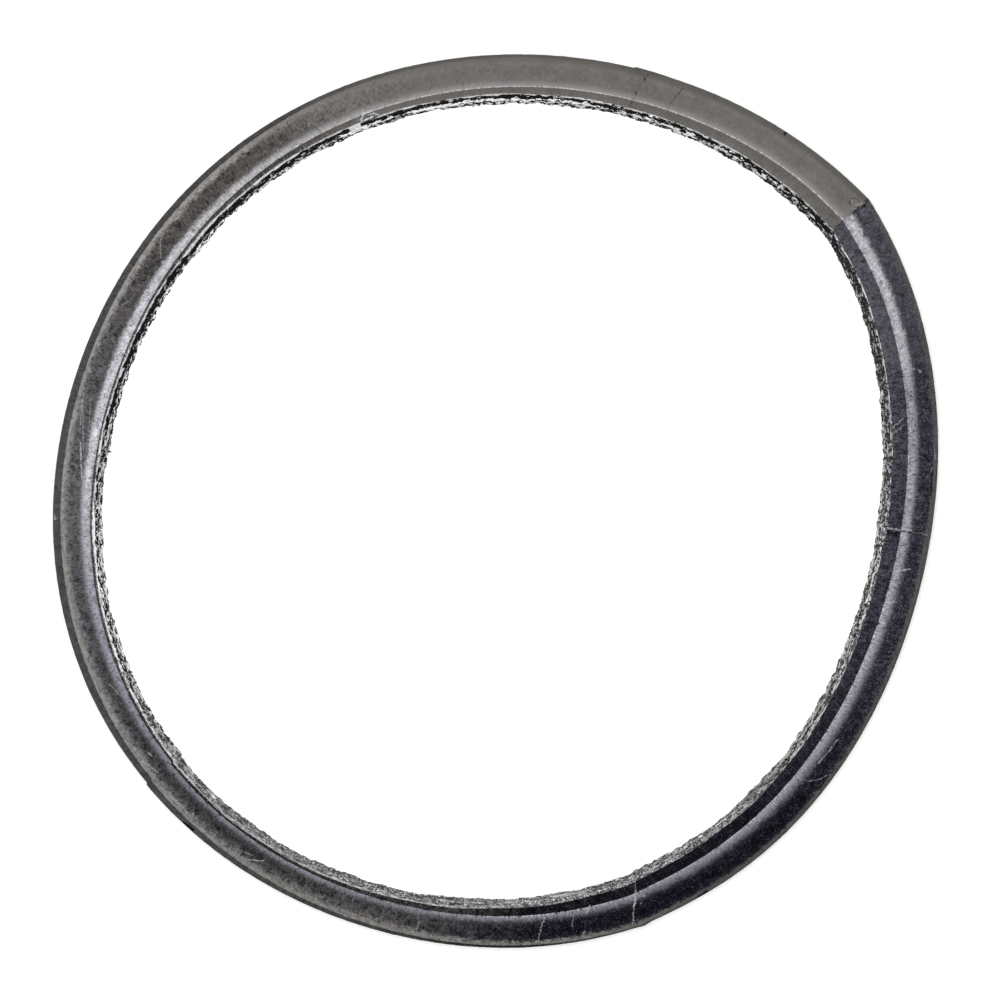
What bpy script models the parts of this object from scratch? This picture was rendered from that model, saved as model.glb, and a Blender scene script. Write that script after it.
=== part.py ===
# Pressed ring gasket made of five bonded plies: graphite facing, steel ply, graphite core,
# steel ply and graphite facing. A rounded ridge is pressed between an outer and an inner lip.
# Lengths are in millimetres until they reach a mesh, which is in metres. The underside of the
# lips lies on z = 0 and the ridge points up.

import math

import bmesh
import bpy

millimetre = 0.001

# Outer cut line, seen from above
mean_radius = 137.0
# Lobes around the ring: how many, how high, and the direction of the first one in degrees
out_of_round = (
    (1, 2.97, 190.0),
    (2, 2.09, 63.2),
    (3, 1.12, 53.9),
    (4, 0.99, 31.8),
)

# Bends from handling: direction, height, and the reach before and after it in degrees. The
# first one is the sharp kink, which also spreads the ridge a little.
bends = (
    (39.0, 13.7, 60.0, 41.0),
    (289.0, 1.0, 30.0, 4.0),
)
kink_direction = bends[0][0]
kink_spread = 0.7
kink_spread_reach = 6.0

# Outer lip: widest at the left and almost gone on the right
outer_lip_width = 1.22
outer_lip_lobes = (
    (1, 1.1, 175.0),
    (2, 0.3, 10.0),
)

# Inner lip: widest on the right and narrow at the left
inner_lip_width = 2.35
inner_lip_lobes = (
    (1, 2.06, 1.3),
    (2, 0.27, -5.8),
    (3, 0.18, 28.3),
    (4, 0.32, 20.3),
)

# Pressed ridge
ridge_width = 9.2
ridge_lobes = (
    (1, 0.35, 41.0),
    (2, 0.55, -45.0),
    (3, 0.4, 53.0),
)
ridge_height = 3.7
inner_flank_angle = 48.0
outer_flank_angle = 60.0
outer_fillet_radius = 0.5
crest_segments = 4

# Plies, from the top down. Each torn inner edge reaches past the inner lip by its top reach
# at the upper side and by its bottom reach at the lower side.
ply_gap = 0.03
upper_facing_thickness = 0.35
upper_facing_reach = (0.0, 0.08)
upper_steel_thickness = 0.25
upper_steel_reach = (0.3, 0.42)
graphite_core_thickness = 1.05
graphite_core_reach = (0.45, 1.55)
lower_steel_thickness = 0.35
lower_steel_reach = (2.0, 2.2)
lower_facing_thickness = 0.6
lower_facing_reach = (2.5, 3.05)

# Torn inner edge: how far it wavers, and how many waves go round
tear_height = 0.16
tear_waves = (23, 31)

# Stations around the ring, the first one on the kink
stations = 72

# Flake missing from the upper facing at the inner lip
flake_direction = 108.6
flake_length = 3.8
flake_depth = 1.6

# Chips at the outer edge, through the upper facing and the upper steel ply
chip_directions = (226.6, 297.4)
chip_length = 3.6
chip_depth = 0.9

# Bright steel tab that sticks out over the core
tab_direction = 110.8
tab_length = 3.2
tab_reach = 1.2
tab_thickness = 0.2


def lobes(angle, terms):
    total = 0.0
    for count, height, direction in terms:
        total += height * math.cos(count * (angle - math.radians(direction)))
    return total


def away_from(angle, direction):
    """Degrees from a direction, between -180 and 180."""
    return math.degrees(math.remainder(angle - math.radians(direction), math.tau))


def bent(angle):
    total = 0.0
    for direction, height, reach_before, reach_after in bends:
        away = away_from(angle, direction)
        reach = reach_before if away < 0.0 else reach_after
        total += height * math.exp(-abs(away) / reach)
    return total


def outer_cut(angle):
    return mean_radius + lobes(angle, out_of_round) + bent(angle)


def outer_lip(angle):
    return outer_lip_width + lobes(angle, outer_lip_lobes)


def ridge(angle):
    away = away_from(angle, kink_direction) / kink_spread_reach
    return ridge_width + lobes(angle, ridge_lobes) + kink_spread * math.exp(-(away**2))


def inner_lip(angle):
    return inner_lip_width + lobes(angle, inner_lip_lobes)


def inner_foot(angle):
    """Radius at which the ridge meets the inner lip."""
    return outer_cut(angle) - outer_lip(angle) - ridge(angle)


def placed_radius(across, angle):
    """Radius of a point of the plain section that lies this far out from the inner foot."""
    if across > ridge_width:
        share = (across - ridge_width) / outer_lip_width
        return inner_foot(angle) + ridge(angle) + share * outer_lip(angle)
    if across > 0.0:
        return inner_foot(angle) + across / ridge_width * ridge(angle)
    on_lip = min(-across, inner_lip_width)
    past_lip = -across - on_lip
    return inner_foot(angle) - on_lip / inner_lip_width * inner_lip(angle) - past_lip


def tear(angle, ply_number):
    first, second = tear_waves
    wave = math.sin(first * angle + 2.1 * ply_number)
    ripple = math.sin(second * angle + 1.3 * ply_number**2)
    return tear_height * (wave + ripple) / 2.0


# Middle of the box around the outer cut line, which is put on the Z axis
station_angles = [
    math.radians(kink_direction) + math.tau * station / stations for station in range(stations)
]
outline_x = [outer_cut(angle) * math.cos(angle) for angle in station_angles]
outline_y = [outer_cut(angle) * math.sin(angle) for angle in station_angles]
middle_x = (min(outline_x) + max(outline_x)) / 2.0
middle_y = (min(outline_y) + max(outline_y)) / 2.0


def plan_point(radius, angle, level):
    return (
        (radius * math.cos(angle) - middle_x) * millimetre,
        (radius * math.sin(angle) - middle_y) * millimetre,
        level * millimetre,
    )


# Centre and radius of the crest's arc, which touches both flanks and peaks at the ridge height
inner_flank = math.radians(inner_flank_angle)
outer_flank = math.radians(outer_flank_angle)
apex_across = ridge_width * math.tan(outer_flank) / (math.tan(inner_flank) + math.tan(outer_flank))
apex_height = apex_across * math.tan(inner_flank)
half_apex = (math.pi - inner_flank - outer_flank) / 2.0
apex_lean = (outer_flank - inner_flank) / 2.0
centre_drop = math.cos(apex_lean) / math.sin(half_apex)
crest_radius = (apex_height - ridge_height) / (centre_drop - 1.0)
crest_across = apex_across - crest_radius * math.sin(apex_lean) / math.sin(half_apex)
crest_level = apex_height - crest_radius * centre_drop

total_thickness = (
    upper_facing_thickness
    + upper_steel_thickness
    + graphite_core_thickness
    + lower_steel_thickness
    + lower_facing_thickness
    + 4 * ply_gap
)


def pressed_line(depth, reach):
    """Section line at this depth below the upper surface, from the outer cut to the inner."""
    lip_level = total_thickness - depth
    outer_corner = ridge_width - depth * math.tan(outer_flank / 2.0)
    inner_corner = depth * math.tan(inner_flank / 2.0)
    fillet = (outer_fillet_radius + depth) * math.tan(outer_flank / 2.0)
    fillet = min(fillet, (ridge_width + outer_lip_width - outer_corner) * 0.8)
    line = [(ridge_width + outer_lip_width, lip_level)]
    line.append((outer_corner + fillet, lip_level))
    line.append(
        (
            outer_corner - fillet * math.cos(outer_flank),
            lip_level + fillet * math.sin(outer_flank),
        )
    )
    for step in range(crest_segments + 1):
        lean = outer_flank - (outer_flank + inner_flank) * step / crest_segments
        line.append(
            (
                crest_across + (crest_radius - depth) * math.sin(lean),
                total_thickness + crest_level + (crest_radius - depth) * math.cos(lean),
            )
        )
    line.append((inner_corner, lip_level))
    line.append((-inner_lip_width - reach, lip_level))
    return line


def new_material(name, colour, metallic, roughness):
    material = bpy.data.materials.new(name)
    material.use_nodes = True
    shader = material.node_tree.nodes["Principled BSDF"]
    shader.inputs["Base Color"].default_value = (*colour, 1.0)
    shader.inputs["Metallic"].default_value = metallic
    shader.inputs["Roughness"].default_value = roughness
    material.diffuse_color = (*colour, 1.0)
    return material


def turned_ply(name, top_depth, thickness, reach, ply_number, material):
    """One ply: its section turned into a plain ring, then pushed out of round."""
    upper_line = pressed_line(top_depth, reach[0])
    lower_line = pressed_line(top_depth + thickness, reach[1])
    section = upper_line + lower_line[::-1]
    mesh = bpy.data.meshes.new(name)
    corners = [
        ((mean_radius + across) * millimetre, 0.0, level * millimetre) for across, level in section
    ]
    count = len(section)
    mesh.from_pydata(corners, [(i, (i + 1) % count) for i in range(count)], [])
    ply = bpy.data.objects.new(name, mesh)
    gasket.objects.link(ply)
    ply.rotation_euler.z = math.radians(kink_direction)

    screw = ply.modifiers.new("Turn", "SCREW")
    screw.axis = "Z"
    screw.angle = math.tau
    screw.steps = stations
    screw.render_steps = stations
    screw.use_merge_vertices = True
    screw.merge_threshold = 0.00001
    bpy.context.view_layer.objects.active = ply
    ply.select_set(True)
    bpy.ops.object.modifier_apply(modifier=screw.name)
    bpy.ops.object.transform_apply(location=False, rotation=True, scale=False)
    ply.select_set(False)

    bm = bmesh.new()
    bm.from_mesh(ply.data)
    for corner in bm.verts:
        angle = math.atan2(corner.co.y, corner.co.x)
        across = math.hypot(corner.co.x, corner.co.y) / millimetre - mean_radius
        radius = placed_radius(across, angle)
        if across < -inner_lip_width + 0.001:
            radius -= tear(angle, ply_number)
        corner.co = plan_point(radius, angle, corner.co.z / millimetre)
    bmesh.ops.triangulate(bm, faces=bm.faces, quad_method="SHORT_EDGE")
    bmesh.ops.recalc_face_normals(bm, faces=bm.faces)
    for face in bm.faces:
        face.smooth = True
    bm.to_mesh(ply.data)
    bm.free()
    ply.data.materials.append(material)
    return ply


def combine(ply, tool, operation):
    join = ply.modifiers.new(tool.name, "BOOLEAN")
    join.operation = operation
    join.solver = "EXACT"
    join.object = tool


def hide_tool(tool):
    for collection in list(tool.users_collection):
        collection.objects.unlink(tool)
    cutters.objects.link(tool)
    tool.hide_render = True
    tool.display_type = "WIRE"


for old in list(bpy.data.objects):
    bpy.data.objects.remove(old, do_unlink=True)

gasket = bpy.data.collections.new("ring_gasket")
cutters = bpy.data.collections.new("cutters")
bpy.context.scene.collection.children.link(gasket)
bpy.context.scene.collection.children.link(cutters)
cutters.hide_render = True

facing_foil = new_material("facing_foil", (0.085, 0.082, 0.088), 0.45, 0.42)
under_foil = new_material("under_foil", (0.07, 0.068, 0.07), 0.3, 0.5)
bright_steel = new_material("bright_steel", (0.62, 0.62, 0.63), 1.0, 0.3)
core_graphite = new_material("core_graphite", (0.018, 0.018, 0.02), 0.0, 0.75)

# Plies, each one ply_gap below the last
depth = 0.0
upper_facing = turned_ply(
    "upper_facing", depth, upper_facing_thickness, upper_facing_reach, 0, facing_foil
)
depth += upper_facing_thickness + ply_gap
upper_steel_depth = depth
upper_steel_ply = turned_ply(
    "upper_steel_ply", depth, upper_steel_thickness, upper_steel_reach, 1, bright_steel
)
depth += upper_steel_thickness + ply_gap
graphite_core = turned_ply(
    "graphite_core", depth, graphite_core_thickness, graphite_core_reach, 2, core_graphite
)
depth += graphite_core_thickness + ply_gap
lower_steel_ply = turned_ply(
    "lower_steel_ply", depth, lower_steel_thickness, lower_steel_reach, 3, bright_steel
)
depth += lower_steel_thickness + ply_gap
lower_facing = turned_ply(
    "lower_facing", depth, lower_facing_thickness, lower_facing_reach, 4, under_foil
)

# Flake missing from the upper facing, an uneven patch that ends at the ridge
flake_angle = math.radians(flake_direction)
flake_radius = inner_foot(flake_angle) - inner_lip(flake_angle)
bpy.ops.mesh.primitive_cylinder_add(
    vertices=7,
    radius=millimetre,
    depth=4.0 * upper_facing_thickness * millimetre,
    location=plan_point(flake_radius, flake_angle, total_thickness),
    rotation=(0.0, 0.0, flake_angle),
)
flake = bpy.context.object
flake.name = "flake_cutter"
flake.scale = (flake_depth, flake_length / 2.0, 1.0)
hide_tool(flake)
combine(upper_facing, flake, "DIFFERENCE")

# Chips at the outer edge
chip_floor = total_thickness - upper_steel_depth - upper_steel_thickness - ply_gap / 2.0
chip_top = total_thickness + ridge_height
for number, direction in enumerate(chip_directions):
    chip_angle = math.radians(direction)
    bpy.ops.mesh.primitive_cylinder_add(
        vertices=6,
        radius=millimetre,
        depth=(chip_top - chip_floor) * millimetre,
        location=plan_point(outer_cut(chip_angle), chip_angle, (chip_floor + chip_top) / 2.0),
        rotation=(0.0, 0.0, chip_angle),
    )
    chip = bpy.context.object
    chip.name = f"chip_cutter_{number}"
    chip.scale = (chip_depth, chip_length / 2.0, 1.0)
    hide_tool(chip)
    combine(upper_facing, chip, "DIFFERENCE")
    combine(upper_steel_ply, chip, "DIFFERENCE")

# Tab of the upper steel ply, rooted in the ply and level with its middle
tab_angle = math.radians(tab_direction)
tab_edge = inner_foot(tab_angle) - inner_lip(tab_angle) - upper_steel_reach[0]
bpy.ops.mesh.primitive_cube_add(
    size=millimetre,
    location=plan_point(
        tab_edge,
        tab_angle,
        total_thickness - upper_steel_depth - upper_steel_thickness / 2.0,
    ),
    rotation=(0.0, 0.0, tab_angle),
)
tab = bpy.context.object
tab.name = "steel_tab"
tab.scale = (2.0 * tab_reach, tab_length, tab_thickness)
hide_tool(tab)
combine(upper_steel_ply, tab, "UNION")
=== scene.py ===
# Looks of a used ring gasket: graphite foil over steel and graphite plies, with a torn inner edge.
# Outline sizes are in millimetres, and a mesh is in metres. Directions are in degrees, counted
# anticlockwise from +X. "Across" is how far out a point of the plain section lies from the foot
# of the ridge's inner flank.
import math

import bmesh
import bpy
import numpy as np
from mathutils import Euler, Matrix, Vector


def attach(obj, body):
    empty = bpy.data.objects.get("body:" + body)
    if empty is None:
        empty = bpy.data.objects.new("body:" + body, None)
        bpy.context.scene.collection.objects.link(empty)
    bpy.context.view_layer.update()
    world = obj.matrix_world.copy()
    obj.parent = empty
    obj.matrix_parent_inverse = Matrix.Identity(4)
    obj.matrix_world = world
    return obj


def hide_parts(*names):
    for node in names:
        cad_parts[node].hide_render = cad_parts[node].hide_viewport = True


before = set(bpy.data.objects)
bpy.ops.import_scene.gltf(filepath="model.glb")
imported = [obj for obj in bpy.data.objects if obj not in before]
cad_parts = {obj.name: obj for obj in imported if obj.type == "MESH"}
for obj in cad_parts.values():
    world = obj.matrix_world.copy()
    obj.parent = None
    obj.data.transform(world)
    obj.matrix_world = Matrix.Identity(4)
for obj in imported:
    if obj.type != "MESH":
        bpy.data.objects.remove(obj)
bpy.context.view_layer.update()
print("Frame loaded:", sorted(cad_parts))

mm = 0.001

# Plan of the ring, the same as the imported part's. Lobes: count, height and direction.
plan = {
    "meanRadius": 137.0,
    "outOfRound": ((1, 2.97, 190.0), (2, 2.09, 63.2), (3, 1.12, 53.9), (4, 0.99, 31.8)),
    # bends: direction, height, reach before and reach after in degrees
    "bends": ((39.0, 13.7, 60.0, 41.0), (289.0, 1.0, 30.0, 4.0)),
    "kinkDirection": 39.0,
    "kinkSpread": 0.7,
    "kinkSpreadReach": 6.0,
    "outerLip": 1.22,
    "outerLipLobes": ((1, 1.1, 175.0), (2, 0.3, 10.0)),
    "innerLip": 2.35,
    "innerLipLobes": ((1, 2.06, 1.3), (2, 0.27, -5.8), (3, 0.18, 28.3), (4, 0.32, 20.3)),
    "ridge": 9.2,
    "ridgeLobes": ((1, 0.35, 41.0), (2, 0.55, -45.0), (3, 0.4, 53.0)),
    "tearHeight": 0.16,
    "tearWaves": (23, 31),
    "cadStations": 72,
    # millimetres round the ring to a degree
    "arc": 2.36,
}

# Pressed section
section = {
    "ridgeHeight": 3.7,
    "innerFlank": math.radians(48.0),
    "outerFlank": math.radians(60.0),
    "outerFillet": 0.5,
    "thickness": 2.72,
    "tallest": 6.55,
}


def lobes(angle, terms):
    return sum(height * np.cos(count * (angle - math.radians(at))) for count, height, at in terms)


def fromDirection(angle, direction):
    # Degrees from a direction, between -180 and 180
    return (np.degrees(angle) - direction + 180.0) % 360.0 - 180.0


def outerCut(angle):
    radius = plan["meanRadius"] + lobes(angle, plan["outOfRound"])
    for direction, height, before, after in plan["bends"]:
        away = fromDirection(angle, direction)
        radius = radius + height * np.exp(-np.abs(away) / np.where(away < 0.0, before, after))
    return radius


def outerLip(angle):
    return plan["outerLip"] + lobes(angle, plan["outerLipLobes"])


def ridge(angle):
    away = fromDirection(angle, plan["kinkDirection"]) / plan["kinkSpreadReach"]
    spread = plan["kinkSpread"] * np.exp(-(away**2))
    return plan["ridge"] + lobes(angle, plan["ridgeLobes"]) + spread


def innerLip(angle):
    return plan["innerLip"] + lobes(angle, plan["innerLipLobes"])


def innerFoot(angle):
    return outerCut(angle) - outerLip(angle) - ridge(angle)


def placedRadius(across, angle):
    onOuterLip = np.clip(across - plan["ridge"], 0.0, None) / plan["outerLip"]
    onRidge = np.clip(across, 0.0, plan["ridge"]) / plan["ridge"]
    onInnerLip = np.clip(-across, 0.0, plan["innerLip"]) / plan["innerLip"]
    pastLip = np.clip(-across - plan["innerLip"], 0.0, None)
    outward = onOuterLip * outerLip(angle) + onRidge * ridge(angle)
    return innerFoot(angle) + outward - onInnerLip * innerLip(angle) - pastLip


def tear(angle, plyNumber):
    first, second = plan["tearWaves"]
    wave = np.sin(first * angle + 2.1 * plyNumber) + np.sin(second * angle + 1.3 * plyNumber**2)
    return plan["tearHeight"] * wave / 2.0


# The middle of the part's box, which the frame has at its origin
stationStep = math.tau / plan["cadStations"]
cadAngles = math.radians(plan["kinkDirection"]) + np.arange(plan["cadStations"]) * stationStep
cadX = outerCut(cadAngles) * np.cos(cadAngles)
cadY = outerCut(cadAngles) * np.sin(cadAngles)
middleX = (cadX.min() + cadX.max()) / 2.0
middleY = (cadY.min() + cadY.max()) / 2.0

# Centre and radius of the crest's arc, which touches both flanks
innerFlank = section["innerFlank"]
outerFlank = section["outerFlank"]
apexAcross = plan["ridge"] * math.tan(outerFlank) / (math.tan(innerFlank) + math.tan(outerFlank))
apexHeight = apexAcross * math.tan(innerFlank)
halfApex = (math.pi - innerFlank - outerFlank) / 2.0
apexLean = (outerFlank - innerFlank) / 2.0
centreDrop = math.cos(apexLean) / math.sin(halfApex)
crestRadius = (apexHeight - section["ridgeHeight"]) / (centreDrop - 1.0)
crestAcross = apexAcross - crestRadius * math.sin(apexLean) / math.sin(halfApex)
crestLevel = section["thickness"] + apexHeight - crestRadius * centreDrop


def pressedLine(depth, crestSteps, filletSteps, edgeRound=0.0):
    # Section line this far below the upper surface, from the outer cut to the end of the crest's
    # arc on the inner flank
    level = section["thickness"] - depth
    outerEnd = plan["ridge"] + plan["outerLip"]
    corner = plan["ridge"] - depth * math.tan(outerFlank / 2.0)
    fillet = (section["outerFillet"] + depth) * math.tan(outerFlank / 2.0)
    fillet = min(fillet, (outerEnd - corner) * 0.8)
    filletRadius = fillet / math.tan(outerFlank / 2.0)
    line = [(outerEnd, level - edgeRound)]
    if edgeRound:
        line.append((outerEnd - edgeRound, level))
        line.append(((outerEnd + corner + fillet) / 2.0, level))
    for step in range(filletSteps + 1):
        lean = outerFlank * step / filletSteps
        across = corner + fillet - filletRadius * math.sin(lean)
        line.append((across, level + filletRadius * (1.0 - math.cos(lean))))
    radius = crestRadius - depth
    for step in range(crestSteps + 1):
        lean = outerFlank - (outerFlank + innerFlank) * step / crestSteps
        line.append((crestAcross + radius * math.sin(lean), crestLevel + radius * math.cos(lean)))
    return line


def toInnerFoot(depth):
    # The same line with few steps, carried on to the foot of the inner flank
    line = pressedLine(depth, 4, 1)
    line.append((depth * math.tan(innerFlank / 2.0), section["thickness"] - depth))
    return line


def jag(angle, cells, seed, sharpness=0.0):
    # Seeded waver round the ring, between -1 and 1. Sharpness near 1 gives steps like torn teeth.
    heights = np.random.default_rng(seed).uniform(-1.0, 1.0, cells)
    place = (angle / math.tau * cells) % cells
    before = np.floor(place).astype(int) % cells
    share = place - np.floor(place)
    share = np.clip((share - sharpness / 2.0) / (1.0 - sharpness + 1e-6), 0.0, 1.0)
    share = share * share * (3.0 - 2.0 * share)
    return heights[before] * (1.0 - share) + heights[(before + 1) % cells] * share


def bell(distance, width):
    return np.exp(-((distance / width) ** 2))


def roundTheRing(angle, stops):
    # A value read off stops of direction and value, carried on from the last stop to the first
    directions, values = zip(*stops)
    return np.interp(np.degrees(angle) % 360.0, directions, values, period=360.0)


def deselectAll():
    bpy.ops.object.select_all(action="DESELECT")


def turnSection(name, line, stations, denseSpans=(), denseCuts=0):
    # A circle is extruded from one section point to the next and back to the first one. Spans of
    # direction can have more stations.
    deselectAll()
    nominal = plan["meanRadius"]
    across, level = line[0]
    bpy.ops.mesh.primitive_circle_add(
        vertices=stations, radius=(nominal + across) * mm, location=(0.0, 0.0, level * mm)
    )
    piece = bpy.context.object
    piece.name = name
    piece.data.name = name
    bpy.ops.object.transform_apply(location=True, rotation=True, scale=True)
    bpy.ops.object.mode_set(mode="EDIT")
    bpy.ops.mesh.select_mode(type="EDGE")
    if denseSpans:
        bpy.ops.mesh.select_all(action="DESELECT")
        loop = bmesh.from_edit_mesh(piece.data)
        for edge in loop.edges:
            middle = (edge.verts[0].co + edge.verts[1].co) / 2.0
            direction = math.degrees(math.atan2(middle.y, middle.x)) % 360.0
            edge.select = any(low < direction < high for low, high in denseSpans)
        bmesh.update_edit_mesh(piece.data)
        bpy.ops.mesh.subdivide(number_cuts=denseCuts)
    bpy.ops.mesh.select_all(action="SELECT")
    for nextAcross, nextLevel in line[1:] + line[:1]:
        bpy.ops.mesh.extrude_region_move()
        grow = (nominal + nextAcross) / (nominal + across)
        bpy.ops.transform.resize(value=(grow, grow, 1.0), center_override=(0.0, 0.0, 0.0))
        bpy.ops.transform.translate(value=(0.0, 0.0, (nextLevel - level) * mm))
        across, level = nextAcross, nextLevel
    bpy.ops.mesh.select_all(action="SELECT")
    bpy.ops.mesh.remove_doubles(threshold=0.000003)
    bpy.ops.mesh.normals_make_consistent(inside=False)
    bpy.ops.object.mode_set(mode="OBJECT")
    return piece


def meshPoints(piece):
    flat = np.empty(len(piece.data.vertices) * 3)
    piece.data.vertices.foreach_get("co", flat)
    return flat.reshape(-1, 3)


def readPoints(piece):
    points = meshPoints(piece) / mm
    angle = np.arctan2(points[:, 1], points[:, 0])
    across = np.hypot(points[:, 0], points[:, 1]) - plan["meanRadius"]
    return angle, across, points[:, 2]


def writeAcross(piece, across):
    store = piece.data.attributes.new("across", "FLOAT", "POINT")
    store.data.foreach_set("value", across.astype(np.float32))


def writePoints(piece, angle, across, radius, level):
    points = np.stack(
        (radius * np.cos(angle) - middleX, radius * np.sin(angle) - middleY, level), axis=1
    )
    piece.data.vertices.foreach_set("co", (points * mm).ravel())
    writeAcross(piece, across)
    piece.data.update()


def keepInHeight(piece):
    # Nothing below the floor or above the height of the part
    points = meshPoints(piece)
    points[:, 2] = np.clip(points[:, 2], 0.0, section["tallest"] * mm)
    piece.data.vertices.foreach_set("co", points.ravel())
    piece.data.update()


def displace(piece, name, weights, size, strength, kind="CLOUDS", middle=0.5):
    # Uneven surface, only where the weights say
    group = piece.vertex_groups.new(name=name)
    for weight in np.unique(weights):
        if weight > 0.0:
            group.add(np.nonzero(weights == weight)[0].tolist(), float(weight), "REPLACE")
    texture = bpy.data.textures.new(name, kind)
    texture.noise_scale = size * mm
    push = piece.modifiers.new(name, "DISPLACE")
    push.texture = texture
    push.texture_coords = "LOCAL"
    push.vertex_group = name
    push.strength = strength * mm
    push.mid_level = middle
    bpy.context.view_layer.objects.active = piece
    bpy.ops.object.modifier_apply(modifier=push.name)
    piece.vertex_groups.remove(piece.vertex_groups[name])


def finishPiece(piece, material, slot, smoothAngle, *nodes):
    if not piece.data.materials:
        piece.data.materials.append(material)
    deselectAll()
    piece.select_set(True)
    bpy.context.view_layer.objects.active = piece
    bpy.ops.object.shade_smooth_by_angle(angle=math.radians(smoothAngle))
    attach(piece, "root")
    if nodes:
        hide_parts(*nodes)
    triangles = sum(len(face.vertices) - 2 for face in piece.data.polygons)
    print(piece.name, "made,", triangles, "triangles")


# Shader sums


class Wire:
    # A socket that takes part in Python sums. Without a socket it is the start of a tree.
    def __init__(self, tree, socket=None):
        self.tree = tree
        self.socket = socket

    def add(self, kind, settings=None, inputs=None, output=0):
        node = self.tree.nodes.new(kind)
        for key, value in (settings or {}).items():
            if key == "stops":
                self.setStops(node.color_ramp, value)
            else:
                setattr(node, key, value)
        for key, value in (inputs or {}).items():
            if isinstance(value, Wire):
                self.tree.links.new(value.socket, node.inputs[key])
            else:
                node.inputs[key].default_value = value
        return Wire(self.tree, node.outputs[output])

    def setStops(self, ramp, stops):
        while len(ramp.elements) < len(stops):
            ramp.elements.new(1.0)
        for element, (place, tone) in zip(ramp.elements, stops):
            element.position = place
            element.color = tone

    def math(self, operation, *values, clamp=False):
        inputs = dict(enumerate((self, *values)))
        settings = {"operation": operation, "use_clamp": clamp}
        return self.add("ShaderNodeMath", settings, inputs)

    def vector(self, operation, other, output=0):
        inputs = {0: self, 1: other}
        return self.add("ShaderNodeVectorMath", {"operation": operation}, inputs, output)

    def __add__(self, other):
        return self.math("ADD", other)

    def __sub__(self, other):
        return self.math("SUBTRACT", other)

    def __mul__(self, other):
        return self.math("MULTIPLY", other)

    def __truediv__(self, other):
        return self.math("DIVIDE", other)

    def __mod__(self, other):
        return self.math("MODULO", other)

    __radd__ = __add__
    __rmul__ = __mul__

    def __rsub__(self, other):
        return self.add("ShaderNodeMath", {"operation": "SUBTRACT"}, {0: other, 1: self})

    def rise(self, low, high, most=1.0):
        # 0 below low, the most above high and smooth between them. High may be the lower one.
        inputs = {"Value": self, "From Min": low, "From Max": high, "To Max": most}
        return self.add("ShaderNodeMapRange", {"interpolation_type": "SMOOTHSTEP"}, inputs)

    def spread(self, amount=1.0):
        # A noise made to swing by about this amount to both sides of zero
        return (self - 0.5) * (7.0 * amount)

    def least(self, other):
        return self.math("MINIMUM", other)

    def most(self, other):
        return self.math("MAXIMUM", other)


tones = {
    "plain": (115, 112, 109),
    "plainDark": (112, 109, 105),
    # painted light on the shoulder, where the key lamp falls
    "shoulderLight": (149, 147, 144),
    "shoulder": (136, 134, 131),
    "shoulderDull": (80, 78, 77),
    "worn": (81, 78, 78),
    # near-black glossy foil: partly its own tone, partly painted dark reflection
    "soot": (14, 13, 23),
    "sootBlue": (49, 49, 58),
    "violetGrey": (76, 74, 82),
    # painted highlight on the inner flank, from bright to dim
    "rubbed": (184, 183, 189),
    "rubbedDull": (148, 146, 157),
    "rubbedDark": (128, 126, 136),
    "steel": (244, 243, 244),
    "steelDull": (184, 183, 183),
    "coal": (10, 9, 11),
    "ash": (112, 111, 112),
    "silver": (212, 211, 212),
    "haze": (84, 83, 95),
    "body": (58, 57, 60),
}


def colour(tone):
    # A named tone, or one as it is written on a screen from 0 to 255, made linear
    def linear(value):
        share = value / 255.0
        return share / 12.92 if share <= 0.04045 else ((share + 0.055) / 1.055) ** 2.4

    return (*map(linear, tones.get(tone, tone)), 1.0)


def grey(value):
    return (value, value, value, 1.0)


def around(stops):
    # Stops round the ring, given by direction in degrees, as places on a ramp from the kink
    kink = plan["kinkDirection"]
    turned = [((direction - kink) % 360.0 / 360.0, tone) for direction, tone in stops]
    return sorted(turned, key=lambda stop: stop[0])


justBefore = plan["kinkDirection"] - 0.001
justAfter = plan["kinkDirection"] + 0.001


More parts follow.
